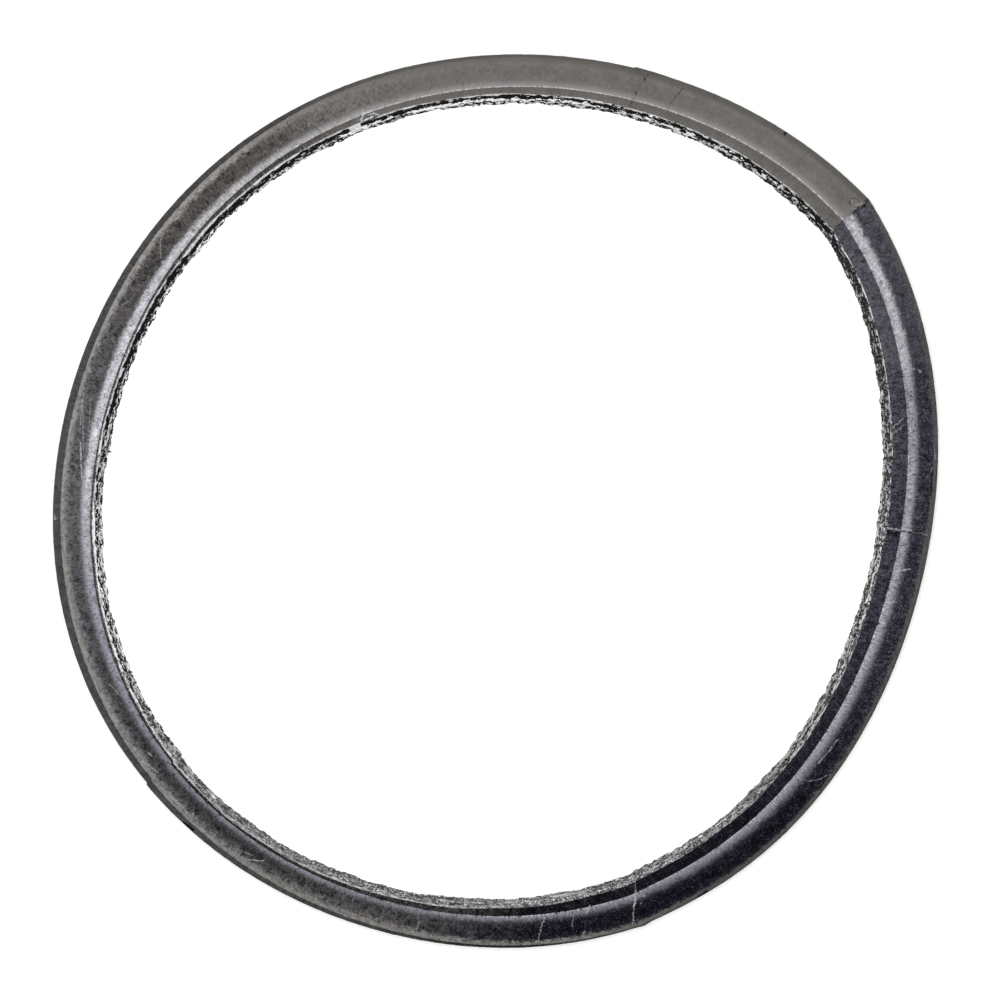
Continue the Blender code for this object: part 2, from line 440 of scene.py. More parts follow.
class Finish:
    # A material with the coordinates that every ply uses. Its look is a dictionary with the stops
    # of its tones and levels round the ring.
    def __init__(self, name, look):
        self.look = look
        self.material = bpy.data.materials.new(name)
        self.material.use_nodes = True
        self.tree = self.material.node_tree
        self.shader = self.tree.nodes["Principled BSDF"]
        self.start = Wire(self.tree)
        self.place = self.start.add("ShaderNodeTexCoord", output="Object")
        middle = (-middleX * mm, -middleY * mm, 0.0)
        centred = self.place.vector("SUBTRACT", middle)
        x = self.start.add("ShaderNodeSeparateXYZ", inputs={0: centred}, output=0)
        y = Wire(self.tree, x.socket.node.outputs[1])
        # Degrees round the ring from the kink, 0 to 360, with a ragged jump on the kink itself
        turn = y.math("ARCTAN2", x) * (180.0 / math.pi)
        ragged = self.noise(0.9, 3.0, 0.6, seed=11.0).spread(0.09)
        self.along = (turn + ragged + (720.0 - plan["kinkDirection"])) % 360.0
        self.across = self.start.add(
            "ShaderNodeAttribute", {"attribute_name": "across"}, output="Fac"
        )
        # Millimetres on the unrolled ring
        inputs = {0: self.along * plan["arc"], 1: self.across, 2: 0.0}
        self.flat = self.start.add("ShaderNodeCombineXYZ", inputs=inputs)

    def mapped(self, size, seed):
        # Coordinates in units of one size, or of one size along and one across
        if isinstance(size, tuple):
            source = self.flat
            scale = (1.0 / size[0], 1.0 / size[1], 1.0)
        else:
            source = self.place
            scale = (1.0 / (size * mm),) * 3
        inputs = {"Vector": source, "Location": (seed, seed * 0.7, 0.0), "Scale": scale}
        return self.start.add("ShaderNodeMapping", inputs=inputs)

    def noise(self, size, detail=3.0, rough=0.55, warp=0.0, seed=0.0):
        inputs = {
            "Vector": self.mapped(size, seed),
            "Scale": 1.0,
            "Detail": detail,
            "Roughness": rough,
            "Distortion": warp,
        }
        return self.start.add("ShaderNodeTexNoise", inputs=inputs)

    def sway(self, size, reach, seed):
        # A small random shift of a place
        inputs = {"Vector": self.mapped(size, seed), "Scale": 1.0, "Detail": 1.0}
        made = self.start.add("ShaderNodeTexNoise", inputs=inputs, output="Color")
        shift = made.vector("SUBTRACT", (0.5, 0.5, 0.5))
        return shift.vector("MULTIPLY", (reach * 2.0, reach * 2.0, 0.0))

    def patches(self, block, shift, seed):
        # Flat random blocks, each with a value of its own between 0 and 1
        inputs = {"Vector": self.mapped(block, seed).vector("ADD", shift), "Scale": 1.0}
        settings = {"distance": "CHEBYCHEV"}
        made = self.start.add("ShaderNodeTexVoronoi", settings, inputs, "Color")
        return self.start.add("ShaderNodeSeparateColor", inputs={0: made})

    def specks(self, size, radius, seed):
        # Small round grains of dust
        inputs = {"Vector": self.mapped(size, seed), "Scale": 1.0}
        made = self.start.add("ShaderNodeTexVoronoi", inputs=inputs, output="Distance")
        return made.rise(radius / size, radius / size * 0.4)

    def mix(self, first, second, share):
        # Two colours or named tones mixed
        paints = [colour(paint) if isinstance(paint, str) else paint for paint in (first, second)]
        inputs = {0: share, 6: paints[0], 7: paints[1]}
        return self.start.add("ShaderNodeMix", {"data_type": "RGBA"}, inputs, 2)

    def shade(self, tone, amount):
        # A colour made lighter or darker by a factor
        factor = self.start.add("ShaderNodeCombineColor", inputs={0: amount, 1: amount, 2: amount})
        settings = {"data_type": "RGBA", "blend_type": "MULTIPLY", "clamp_result": False}
        return self.start.add("ShaderNodeMix", settings, {0: 1.0, 6: tone, 7: factor}, 2)

    def ramp(self, stops):
        settings = {"stops": around(stops)}
        return self.start.add("ShaderNodeValToRGB", settings, {0: self.along / 360.0})

    def tone(self, key):
        # A colour read off the look's stops of direction and tone
        return self.ramp([(direction, colour(tone)) for direction, tone in self.look[key]])

    def level(self, key):
        # A value up to 10 read off the look's stops of direction and value
        stops = [(direction, grey(value / 10.0)) for direction, value in self.look[key]]
        return self.ramp(stops) * 10.0

    def strokes(self, rows, place):
        # Greatest strength of any stroke at this place. Row: direction and across of both ends,
        # width and strength.
        total = None
        for first, firstAcross, last, lastAcross, width, strength in rows:
            start = ((first - plan["kinkDirection"]) % 360.0 * plan["arc"], firstAcross, 0.0)
            run = ((last - first) * plan["arc"], lastAcross - firstAcross, 0.0)
            square = run[0] ** 2 + run[1] ** 2
            perLength = (run[0] / square, run[1] / square, 0.0)
            fromStart = place.vector("SUBTRACT", start)
            share = fromStart.vector("DOT_PRODUCT", perLength, 1).math("ADD", 0.0, clamp=True)
            inputs = {0: run, "Scale": share}
            nearest = self.start.add("ShaderNodeVectorMath", {"operation": "SCALE"}, inputs)
            away = fromStart.vector("DISTANCE", nearest, 1)
            stroke = away.rise(width, width * 0.3, strength)
            total = stroke if total is None else total.most(stroke)
        return total

    def set(self, name, value):
        if isinstance(value, Wire):
            self.tree.links.new(value.socket, self.shader.inputs[name])
        else:
            self.shader.inputs[name].default_value = value

    def bump(self, height, strength, distance):
        inputs = {"Height": height, "Strength": strength, "Distance": distance * mm}
        self.set("Normal", self.start.add("ShaderNodeBump", inputs=inputs))


# Foil of the upper facing. Marks: direction and across of both ends, width and strength.
marks = {
    "dark": (
        (51.8, 10.6, 51.85, 8.7, 0.55, 1.6), (61.7, 10.4, 61.6, 8.7, 0.3, 0.7),
        (65.75, 7.9, 66.15, 4, 0.22, 0.75), (66.15, 4, 66.4, 0.8, 0.2, 0.65),
        (70.45, 9.1, 70.5, 8.1, 0.3, 0.6), (70.75, 7.7, 70.4, 6.2, 0.28, 0.75),
        (71.15, 5.3, 71.1, 4.2, 0.2, 0.5), (71.45, 3.2, 71, 1.8, 0.26, 0.7),
        (71.1, 0.9, 71.4, -2, 0.22, 0.6), (94.5, 2.4, 94.6, 0, 0.2, 0.45),
        (98.7, 2.5, 99.4, 1.4, 0.3, 0.25), (112.6, 1.05, 112.8, 0.95, 0.4, 0.55),
        (114.2, -1, 114.3, -2.2, 0.4, 0.4), (115.9, 2.6, 115.4, 0.4, 0.45, 0.45),
        (116.8, 4, 116.95, 2.6, 0.35, 0.5), (120, 4.4, 120.6, 5.9, 0.35, 0.6),
        (128.6, 1.2, 128.8, 0.7, 0.4, 0.4), (135.3, 0.5, 136.2, 2.1, 0.22, 0.55),
        (151, 2, 152.2, 2.7, 0.3, 0.6), (156.3, 4, 156.5, 4.6, 0.7, 0.5),
        (159.5, 2.1, 160.1, 2.8, 0.25, 0.6), (170.5, 2.9, 173.6, 2.3, 0.2, 0.55),
        (172.5, 7.3, 172.8, 7, 0.6, 0.5), (178.05, 10.2, 178.15, 10.1, 0.35, 0.8),
        (195.9, 2.3, 195.6, 1, 0.3, 0.6), (200.3, 6.5, 200.1, 5.3, 0.4, 0.45),
        (214.6, 2.1, 214.6, 0.8, 0.25, 0.65), (215.1, 4.5, 214.7, 3.6, 0.65, 0.9),
        (216.25, 4.2, 216.45, 3.2, 0.45, 1), (215.8, 8.7, 216.2, 8.2, 0.4, 0.5),
        (220.2, 3.3, 220.4, 0.3, 0.28, 0.6), (222.9, 10.4, 222.95, 10.2, 0.5, 0.7),
        (223.5, 3.4, 223.9, 2, 0.4, 0.7), (224.95, 6.5, 225.2, 6.2, 0.5, 1.8),
        (225.7, 10.4, 227.2, 10.3, 0.48, 1.9), (228.3, 1.5, 228.65, 0.1, 0.3, 0.75),
        (229.3, 4, 229.7, 4.1, 1, 0.5), (258.95, 1.4, 258.7, -0.9, 0.3, 0.6),
        (262, 10.3, 268, 9.7, 0.3, 0.7), (268, 9.7, 274, 9.9, 0.3, 0.75),
        (274, 9.9, 279, 10.35, 0.3, 0.7), (296.3, 9.9, 298.3, 9.9, 0.9, 1),
        (297.1, 9.5, 298.4, 9.1, 0.7, 2), (326, 3.8, 333.5, 4.1, 0.22, 0.5),
        (342.25, 3.1, 341.8, 1.9, 0.28, 0.7), (355.65, 3, 355.85, 0.1, 0.4, 1),
        (355.3, -0.8, 355.4, -1.7, 1.1, 0.95), (360.8, 7.8, 363.9, 7.65, 0.6, 1),
        (363.9, 7.65, 366.8, 7.9, 0.28, 0.7), (371.9, 0.2, 371.85, 2.4, 0.22, 0.4),
        (363.6, 9.9, 366.8, 9.9, 0.55, 0.95), (376.5, 7.4, 376.8, 6.4, 0.35, 0.6),
        (377.9, 0, 377.7, -2.4, 0.3, 0.6), (25.4, 2.9, 25.6, 2.6, 0.25, 0.6),
        (31.2, 3.3, 31.5, 3.1, 0.3, 0.5), (35.9, 3.2, 36.3, 3, 0.3, 0.5),
        (39.15, 9.4, 38.8, 7.6, 0.5, 1), (38.85, 7.6, 39.15, 9.4, 0.5, 1),
        (38.9, 3.4, 39.15, 5.6, 0.5, 1), (38.8, 7.6, 39.1, 5.6, 0.55, 1),
        (39.1, 5.6, 38.95, 3.4, 0.5, 1), (38.95, 3.4, 39, -1.8, 0.35, 0.8),
        (40.35, 6.5, 40.4, 5.3, 0.35, 0.7), (40.4, 5.3, 40, 4.5, 0.35, 0.7),
        (40.35, 6.5, 39.9, 7.2, 0.35, 0.7), (39.9, 7.2, 39.4, 7, 0.3, 0.6),
    ),
    "pale": (
        (94.1, 1, 94.2, 2, 0.25, 0.25), (106.9, -1.9, 107.6, -0.9, 0.45, 1.6),
        (107.6, -0.9, 108.4, -1.2, 0.5, 1.6), (107.6, 0.2, 108.9, 0.4, 0.45, 1.4),
        (108.6, 1.5, 109, 0.8, 0.3, 0.8), (109, 0.2, 109.6, -2.2, 0.5, 1.6),
        (116.4, 4.2, 116.6, 3.7, 0.35, 0.5), (142, 7.2, 144, 3.8, 0.25, 0.55),
        (142.8, 1.6, 143.1, 2.3, 0.25, 0.5), (150.2, 4.4, 152.8, 6.5, 0.25, 0.35),
        (164.6, 8, 170, 5, 0.3, 0.4), (166, 7.6, 169.6, 6, 0.25, 0.45),
        (170, 5, 173.4, 3.5, 0.25, 0.4), (172, 4.9, 177, 3, 0.28, 0.85),
        (165.8, 4.9, 168.9, 3.6, 0.22, 0.35), (168, 4, 171, 2.9, 0.25, 0.35),
        (176.5, 3.1, 181, 1.7, 0.2, 0.3), (181.9, 10.4, 182.3, 10.1, 0.35, 0.7),
        (205.2, 4.4, 206.8, 2.8, 0.25, 0.45), (206.9, 3.4, 207.4, 2, 0.2, 0.35),
        (215.9, 4.4, 216.4, 3.9, 0.5, 0.7), (216.2, 8.3, 217.2, 6.9, 0.25, 0.6),
        (217, 7, 218.8, 5.9, 0.3, 0.65), (220.5, 8, 222.2, 7.4, 0.22, 0.4),
        (222.3, 7.4, 224.4, 6.9, 0.25, 0.7), (225.8, 6, 226.1, 6.4, 0.35, 1.1),
        (233, 7.8, 235, 7.1, 0.22, 0.4), (233.3, 5.7, 235.4, 4.5, 0.25, 0.5),
        (235.3, 6.8, 236, 5.4, 0.28, 0.7), (236, 5.4, 237.1, 3.9, 0.26, 0.85),
        (250.3, 4, 250.2, 1, 0.25, 0.2), (39.2, 6.8, 39.5, 5.6, 0.3, 0.5),
        (39.15, 4.9, 39.35, 4.2, 0.3, 0.5), (259.4, 7.9, 259.6, 3.9, 0.3, 0.35),
        (259.6, 4, 259.1, 1.4, 0.3, 0.35), (275.5, 7.7, 275.85, 4.4, 0.22, 0.6),
        (275.85, 4.4, 276.2, 2.6, 0.22, 0.65), (276.2, 2.6, 276.7, 1, 0.33, 0.6),
        (280.1, 4.7, 280.6, 1.4, 0.25, 0.35), (281.3, 7.6, 281.6, 6.7, 0.4, 0.45),
        (282.4, 1.7, 283, -0.3, 0.3, 0.6), (287.9, 8.2, 288.7, 3.4, 0.26, 0.6),
        (288.7, 3.4, 289.3, 1.4, 0.4, 0.9), (289.3, 1.4, 289.7, -0.6, 0.35, 0.85),
        (289.7, -0.6, 290.1, -3, 0.25, 0.5), (289.8, 3.1, 289.9, 3.2, 0.28, 1),
        (290.4, 1.6, 290.6, 1.8, 0.3, 0.7), (317.6, 2, 318.1, 3.8, 0.22, 0.3),
        (318.1, 3.8, 318.9, 5.5, 0.2, 0.4), (318.9, 5.5, 320.3, 7.2, 0.2, 0.4),
        (321, 3.1, 322.6, 3.3, 0.26, 0.75), (322.9, 3.45, 323.8, 3.6, 0.26, 0.75),
        (324.2, 3.6, 325.2, 3.85, 0.22, 0.5), (344.4, 1.5, 344, 0.4, 0.25, 0.5),
        (345.9, 3.4, 345.6, 0.1, 0.22, 0.5), (350.7, 4.7, 350.15, 0.9, 0.3, 0.7),
        (350.15, 0.9, 349.7, -2.4, 0.22, 0.4), (355.55, 8.4, 355.8, 3.4, 0.18, 0.45),
        (356, 3, 356.1, 0.6, 0.24, 1.1), (357, 1.2, 357.4, 2.4, 0.2, 0.6),
        (355.95, -0.3, 356.2, -3.2, 0.35, 0.9), (363.6, 7.3, 364.4, 7.5, 0.25, 0.4),
        (365.5, 8.5, 366.7, 8.45, 0.22, 0.5), (370.6, -2.2, 371.5, -0.7, 0.25, 0.5),
        (369.6, -2.3, 370.7, -0.5, 0.22, 0.35), (377.1, 5.4, 377.3, 5, 0.6, 0.55),
        (377.5, 3.6, 377.9, 2, 0.4, 0.4), (27.8, 2.1, 28.7, 3.5, 0.25, 0.45),
        (28.9, 3.4, 29.3, 2.2, 0.25, 0.45), (24, 5.2, 24.4, 5.6, 0.4, 0.3),
        (39.25, 7.6, 39.5, 6.2, 0.3, 0.35), (40.2, 5.8, 39.9, 4.6, 0.35, 0.3),
    ),
}

# First direction of each stretch of foil that has its own marks
foilStretches = (39.0, 112.0, 168.0, 219.0, 263.0, 318.0, 358.0)

foilLook = {
    # noises: size in millimetres or sizes along and across, detail, roughness and warp
    "fine": (0.45, 2.0, 0.6),
    "blotch": (1.7, 3.0, 0.58, 0.8),
    "broad": (7.0, 2.0, 0.5),
    "streak": ((0.7, 4.0), 3.0, 0.6),
    "grain": ((0.5, 1.6), 3.0, 0.6),
    "lipStreaks": ((0.6, 6.0), 1.0, 0.5),
    "dustPatches": (5.0, 1.0),
    # dust: distance and radius of its grains
    "dustGrains": (1.3, 0.15),
    # wavers of a stroke: size and reach
    "strokeWaver": (1.2, 0.3),
    "strokeFray": (0.4, 0.14),
    "flankMetal": 0.75,
    "mattRoughness": 0.62,
    "glossySmoothing": 0.2,
    "specular": 0.03,
    # bump: strength and distance
    "bump": (0.7, 0.1),
    # where the outer lip's tone begins, in millimetres across
    "outerLipStart": (9.22, 9.34),
    # Stops round the ring. How glossy and dark the foil is: none where it is plain and matt. Its
    # near-black is partly the graphite's own and partly a painted dark reflection of the room.
    "soot": ((104, 0), (124, 0.7), (142, 1)),
    # how speckled it is
    "speckle": ((262, 0.4), (278, 0.85), (17.2, 0.85), (18.2, 0.6)),
    # how ragged the ends of the flank's painted highlight and of the shoulder's painted light are
    "ragged": ((106, 0.3), (126, 1)),
    "shoulderRagged": ((160, 0.5), (180, 0.2), (254, 0.25), (268, 0.5)),
    # tone of the crest round the ring; its near-black stops are partly painted dark reflection
    "crest": (
        (112, "plain"), (125, (86, 83, 80)), (145, "worn"), (175, (96, 94, 97)),
        (198, (84, 82, 86)), (222, (74, 72, 74)), (256, (72, 70, 72)), (276, "soot"),
        (315, "soot"), (345, "sootBlue"), (17.2, "sootBlue"), (18.2, (66, 64, 72)),
        (justBefore, "violetGrey"),
    ),
    "innerLip": (
        (108, "plainDark"), (124, (72, 69, 66)), (178, (78, 76, 78)), (205, (56, 55, 57)),
        (222, (38, 37, 39)), (250, (50, 49, 50)), (263, (56, 55, 56)), (274, (14, 13, 18)),
        (310, (17, 16, 26)), (345, (56, 55, 65)), (17.3, (74, 72, 82)), (18.3, (86, 84, 92)),
        (justBefore, (90, 88, 96)),
    ),
    "outerLip": (
        (justAfter, (104, 102, 98)), (104, (100, 98, 95)), (122, (78, 76, 74)),
        (176, (84, 83, 84)), (240, (76, 75, 75)), (274, (48, 47, 48)), (286, "shoulderDull"),
        (justBefore, (98, 97, 96)),
    ),
    # painted light and shade on the shoulder over the outer flank: lighter on the side the key
    # lamp falls on, darker on the far side
    "shoulder": (
        (justAfter, (91, 89, 85)), (72, (96, 93, 89)), (112, (113, 110, 106)),
        (132, "shoulderLight"), (205, "shoulderLight"), (235, "shoulder"), (276, (124, 122, 119)),
        (298, "shoulderDull"), (350, "shoulderDull"), (justBefore, (80, 79, 77)),
    ),
    # painted highlight on the inner flank: its tone round the ring
    "flank": (
        (justAfter, (156, 154, 154)), (104, (160, 158, 158)), (124, (188, 186, 190)),
        (142, (190, 189, 195)), (172, "rubbed"), (195, "rubbedDull"), (222, "rubbedDark"),
        (262, (140, 138, 147)), (276, (158, 156, 166)), (300, (160, 158, 170)),
        (330, (176, 174, 186)), (350, (166, 164, 176)), (17.2, (150, 148, 160)),
        (18.4, (180, 178, 184)), (justBefore, "rubbed"),
    ),
    # where the painted highlight on the inner flank ends, in millimetres across, and how softly
    "flankEnd": (
        (justAfter, 0.9), (104, 1.2), (120, 1.6), (136, 2), (150, 2.4), (180, 2.7), (205, 2.1),
        (228, 1.2), (290, 1.2), (330, 1.8), (8, 2.6), (justBefore, 2.9),
    ),
    "flankSoft": (
        (justAfter, 1.6), (120, 1.1), (145, 0.7), (176, 0.6), (190, 1.2), (205, 1.2), (228, 0.8),
        (268, 1.2), (292, 1.9), (330, 1.9), (352, 1.3), (17.2, 1), (justBefore, 0.9),
    ),
    # where the shoulder's painted light over the outer flank starts, and how softly
    "shoulderStart": (
        (justAfter, 7.6), (124, 7.5), (150, 7.7), (166, 8.2), (185, 7.7), (220, 7.1), (254, 6.8),
        (268, 7.9), (332, 8.1), (341, 7.6), (356, 7.5), (1, 7.9), (8, 8), (justBefore, 8.5),
    ),
    "shoulderSoft": (
        (justAfter, 0.9), (165, 1.2), (190, 1.9), (215, 2.7), (254, 2.2), (268, 0.6), (332, 0.5),
        (justBefore, 0.7),
    ),
    # painted highlight: a bright line on the foot of the inner flank
    "footLine": (
        (108, 1), (122, 0.2), (262, 0.1), (276, 0.4), (330, 0.4), (345, 0.15), (justBefore, 0.1),
    ),
    # painted glints: light streaks that hang over the torn edge of the inner lip
    "lipGlint": (
        (justAfter, 0.15), (110, 0.2), (140, 0.6), (165, 0.8), (195, 0.8), (220, 0.5), (228, 0.2),
        (262, 0.2), (270, 0), (justBefore, 0.1),
    ),
    # pale bluish haze over the blackest foil
    "haze": ((262, 0), (274, 0.2), (312, 0.22), (330, 0.42), (17.2, 0.42), (18.2, 0.25)),
    # painted shade: how much darker the crest is beside the flank's painted highlight
    "crestShade": ((190, 0), (208, 0.3), (238, 0.42), (252, 0.15), (262, 0)),
    # strength of the mottle, and of the dust
    "mottle": (
        (justAfter, 0.15), (100, 0.18), (120, 0.55), (135, 0.75), (200, 0.75), (230, 0.9),
        (276, 1.1), (288, 0.55), (310, 0.55), (345, 0.8), (17.2, 0.75), (18.2, 0.6),
    ),
    "dust": ((120, 0), (150, 0.25), (262, 0.5), (justBefore, 0.3)),
}


def nearStretch(row, first, last):
    # Whether a mark lies in this stretch or close to it
    length = (last - first) % 360.0
    turns = [(direction - first + 1.5) % 360.0 for direction in (row[0], row[2])]
    return min(turns) <= length + 3.0


def graphiteFoil(name, first, last):
    foil = Finish(name, foilLook)
    fine = foil.noise(*foilLook["fine"], seed=1.0)
    blotch = foil.noise(*foilLook["blotch"], seed=2.0)
    broad = foil.noise(*foilLook["broad"], seed=3.0)
    streak = foil.noise(*foilLook["streak"], seed=4.0)
    grain = foil.noise(*foilLook["grain"], seed=8.0)
    soot = foil.level("soot")
    speckle = foil.level("speckle")
    # Masks
    uneven = blotch.spread(0.6) + fine.spread(0.6) * speckle + streak.spread(0.2)
    uneven = uneven * foil.level("ragged")
    flank = (foil.level("flankEnd") - foil.across - uneven) / foil.level("flankSoft") * 0.5 + 0.5
    flank = flank.rise(0.0, 1.0) * foil.across.rise(-0.06, 0.02)
    shoulder = foil.across + uneven * foil.level("shoulderRagged") - foil.level("shoulderStart")
    shoulder = (shoulder / foil.level("shoulderSoft") * 0.5 + 0.5).rise(0.0, 1.0)
    innerSide = foil.across.rise(0.03, -0.03)
    outerSide = foil.across.rise(*foilLook["outerLipStart"])
    # mask of the painted highlight on the foot of the flank
    footLine = foil.across.rise(-0.05, 0.05) * (foil.across + blotch.spread(0.12)).rise(0.45, 0.22)
    footLine = footLine * foil.level("footLine") * (grain.spread(0.7) + 0.5).rise(0.0, 1.0)
    # mask of the painted glints on the inner lip
    lipGlint = foil.noise(*foilLook["lipStreaks"], seed=9.0).rise(0.53, 0.66) * 0.9 + 0.06
    lipGlint = lipGlint * foil.across.rise(-0.3, -2.3) * innerSide * foil.level("lipGlint")
    haze = foil.level("haze") * (blotch.spread(0.5) + fine.spread(0.7)).rise(0.0, 0.9)
    # Tones, one over the other
    # painted shade on the crest beside the flank's painted highlight
    tone = foil.shade(foil.tone("crest"), 1.0 - foil.level("crestShade") * foil.across.rise(5.4, 3.6))
    tone = foil.mix(tone, foil.tone("innerLip"), innerSide)
    tone = foil.mix(tone, "haze", haze)
    # painted light band on the shoulder
    tone = foil.mix(tone, foil.tone("shoulder"), shoulder)
    tone = foil.mix(tone, foil.tone("outerLip"), outerSide)
    # painted highlight on the inner flank
    tone = foil.mix(tone, foil.tone("flank"), flank)
    # painted highlight on the foot of the flank
    tone = foil.mix(tone, "silver", footLine)
    # painted glints on the inner lip
    tone = foil.mix(tone, "silver", lipGlint.least(1.0))
    amount = foil.level("mottle") * (1.0 - flank * 0.25) * (1.0 - shoulder * 0.5)
    mottle = blotch.spread(0.6) + fine.spread(0.9) * speckle + grain.spread(0.45)
    mottle = 1.0 + mottle * amount + streak.spread(0.45) * flank * speckle * soot
    tone = foil.shade(tone, (mottle + broad.spread(0.05)).most(0.1))
    # Marks and dust
    place = foil.flat.vector("ADD", foil.sway(*foilLook["strokeWaver"], seed=7.0))
    place = place.vector("ADD", foil.sway(*foilLook["strokeFray"], seed=10.0))
    darkRows = [row for row in marks["dark"] if nearStretch(row, first, last)]
    paleRows = [row for row in marks["pale"] if nearStretch(row, first, last)]
    dark = foil.strokes(darkRows, place) * (grain.rise(0.58, 0.46) * 0.5 + 0.5)
    pale = foil.strokes(paleRows, place) * (fine.rise(0.42, 0.56) * 0.65 + 0.2)
    dust = foil.noise(*foilLook["dustPatches"], seed=6.0).rise(0.46, 0.6)
    dust = dust * foil.specks(*foilLook["dustGrains"], seed=5.0) * foil.level("dust")
    tone = foil.mix(tone, "coal", dark)
    tone = foil.mix(tone, "silver", (pale + dust).least(1.0))
    foil.set("Base Color", tone)
    # metallic where the painted highlight lies, so that the flank also reflects the room
    foil.set("Metallic", flank * soot * foilLook["flankMetal"])
    roughness = foilLook["mattRoughness"] - soot * foilLook["glossySmoothing"]
    foil.set("Roughness", roughness + blotch.spread(0.05))
    foil.set("Specular IOR Level", foilLook["specular"])
    height = blotch.spread(0.5) * (soot + 0.05) + fine.spread(0.2) * (soot + 0.2)
    height = height + grain.spread(0.3) * soot + streak.spread(0.35) * soot
    foil.bump(height, *foilLook["bump"])
    return foil.material


# Torn edge of the plies under the foil. Marks: the same way.
tornMarks = {
    "dark": (
        (107.3, -2.3, 109.2, -2.75, 0.6, 1), (263.5, -3.3, 264.8, -3.35, 0.35, 0.95),
        (261, -4, 261.2, -4.6, 0.3, 0.8), (313.5, -3.5, 319.5, -3.55, 0.24, 0.8),
        (320.2, -3.3, 320.9, -3.9, 0.3, 0.7), (321.3, -3.5, 328.5, -3.6, 0.22, 0.85),
        (321.5, -4.5, 328.8, -4.6, 0.2, 0.8), (329, -4, 329.6, -4.6, 0.35, 0.8),
        (341, -3.6, 343, -4, 0.3, 0.8), (345.5, -3.9, 349.5, -3.8, 0.25, 0.8),
        (343, -4.2, 344.6, -4.6, 0.3, 0.7), (198.2, -3.2, 198.5, -3.8, 0.45, 0.85),
        (231.2, -3.9, 231.3, -4.9, 0.2, 0.7), (377.5, -2.9, 378.5, -5, 0.25, 0.8),
    ),
    "pale": (
        (226, -4.4, 226.4, -4.3, 0.8, 1), (160.3, -2.95, 161.8, -2.95, 0.28, 1),
        (262, -4.1, 264, -4.1, 0.22, 0.8), (266.5, -4, 268, -4.05, 0.22, 0.9),
        (270.2, -4, 273, -4.05, 0.22, 0.9), (274.2, -4, 276.5, -3.95, 0.22, 0.9),
        (277.8, -4.4, 283.5, -4.5, 0.22, 0.6), (304, -4.4, 305.8, -4.4, 0.4, 0.8),
        (298.5, -4.4, 299.2, -4.4, 0.4, 0.8), (301, -4.6, 301.6, -4.6, 0.4, 0.8),
        (321.5, -4.1, 329, -4.1, 0.22, 0.75), (314.5, -4.1, 320, -4.05, 0.22, 0.6),
        (341, -3, 344, -3.1, 0.28, 0.6), (345, -3.4, 349.5, -3.4, 0.28, 0.6),
        (356.2, -4.1, 356.5, -4.4, 0.4, 0.9), (375.3, -4.1, 375.8, -4.2, 0.4, 0.9),
        (193, -3, 194.4, -2.9, 0.3, 0.8), (207, -4, 207.3, -4.8, 0.35, 0.9),
        (110.15, -3.25, 111.25, -3.25, 1, 1.8),
    ),
}

tornLook = {
    # noises, as for the foil
    "fine": (0.42, 2.0, 0.6),
    "lines": ((4.0, 0.45), 1.0, 0.5),
    "glints": (0.55, 1.0, 0.5),
    "wear": (1.6, 3.0, 0.6),
    # wavers of the blocks and the strokes: size and reach
    "blockWaver": (0.6, 0.35),
    "strokeWaver": (0.8, 0.2),
    "roughness": 0.62,
    "lightGloss": 0.25,
    "specular": 0.1,
    "bump": (0.4, 0.2),
    # Stops round the ring: how broken the edge is, how much of it runs in lines, how sharp its
    # blocks are, and how many bright glints it has
    "busy": ((168, 0.8), (176, 1), (18, 1), (justBefore, 0.8)),
    "lined": (
        (222, 0.14), (232, 0.3), (260, 0.3), (268, 0.14), (313, 0.14), (317, 0.6), (332, 0.6),
        (340, 0.14),
    ),
    "crisp": ((215, 7), (232, 2.5), (312, 2.5), (330, 5), (justBefore, 7)),
    "glint": (
        (215, 0), (230, 0.6), (250, 0.85), (300, 0.85), (316, 0.2), (332, 0.2), (342, 0.5),
        (18, 0.3), (justBefore, 0),
    ),
}

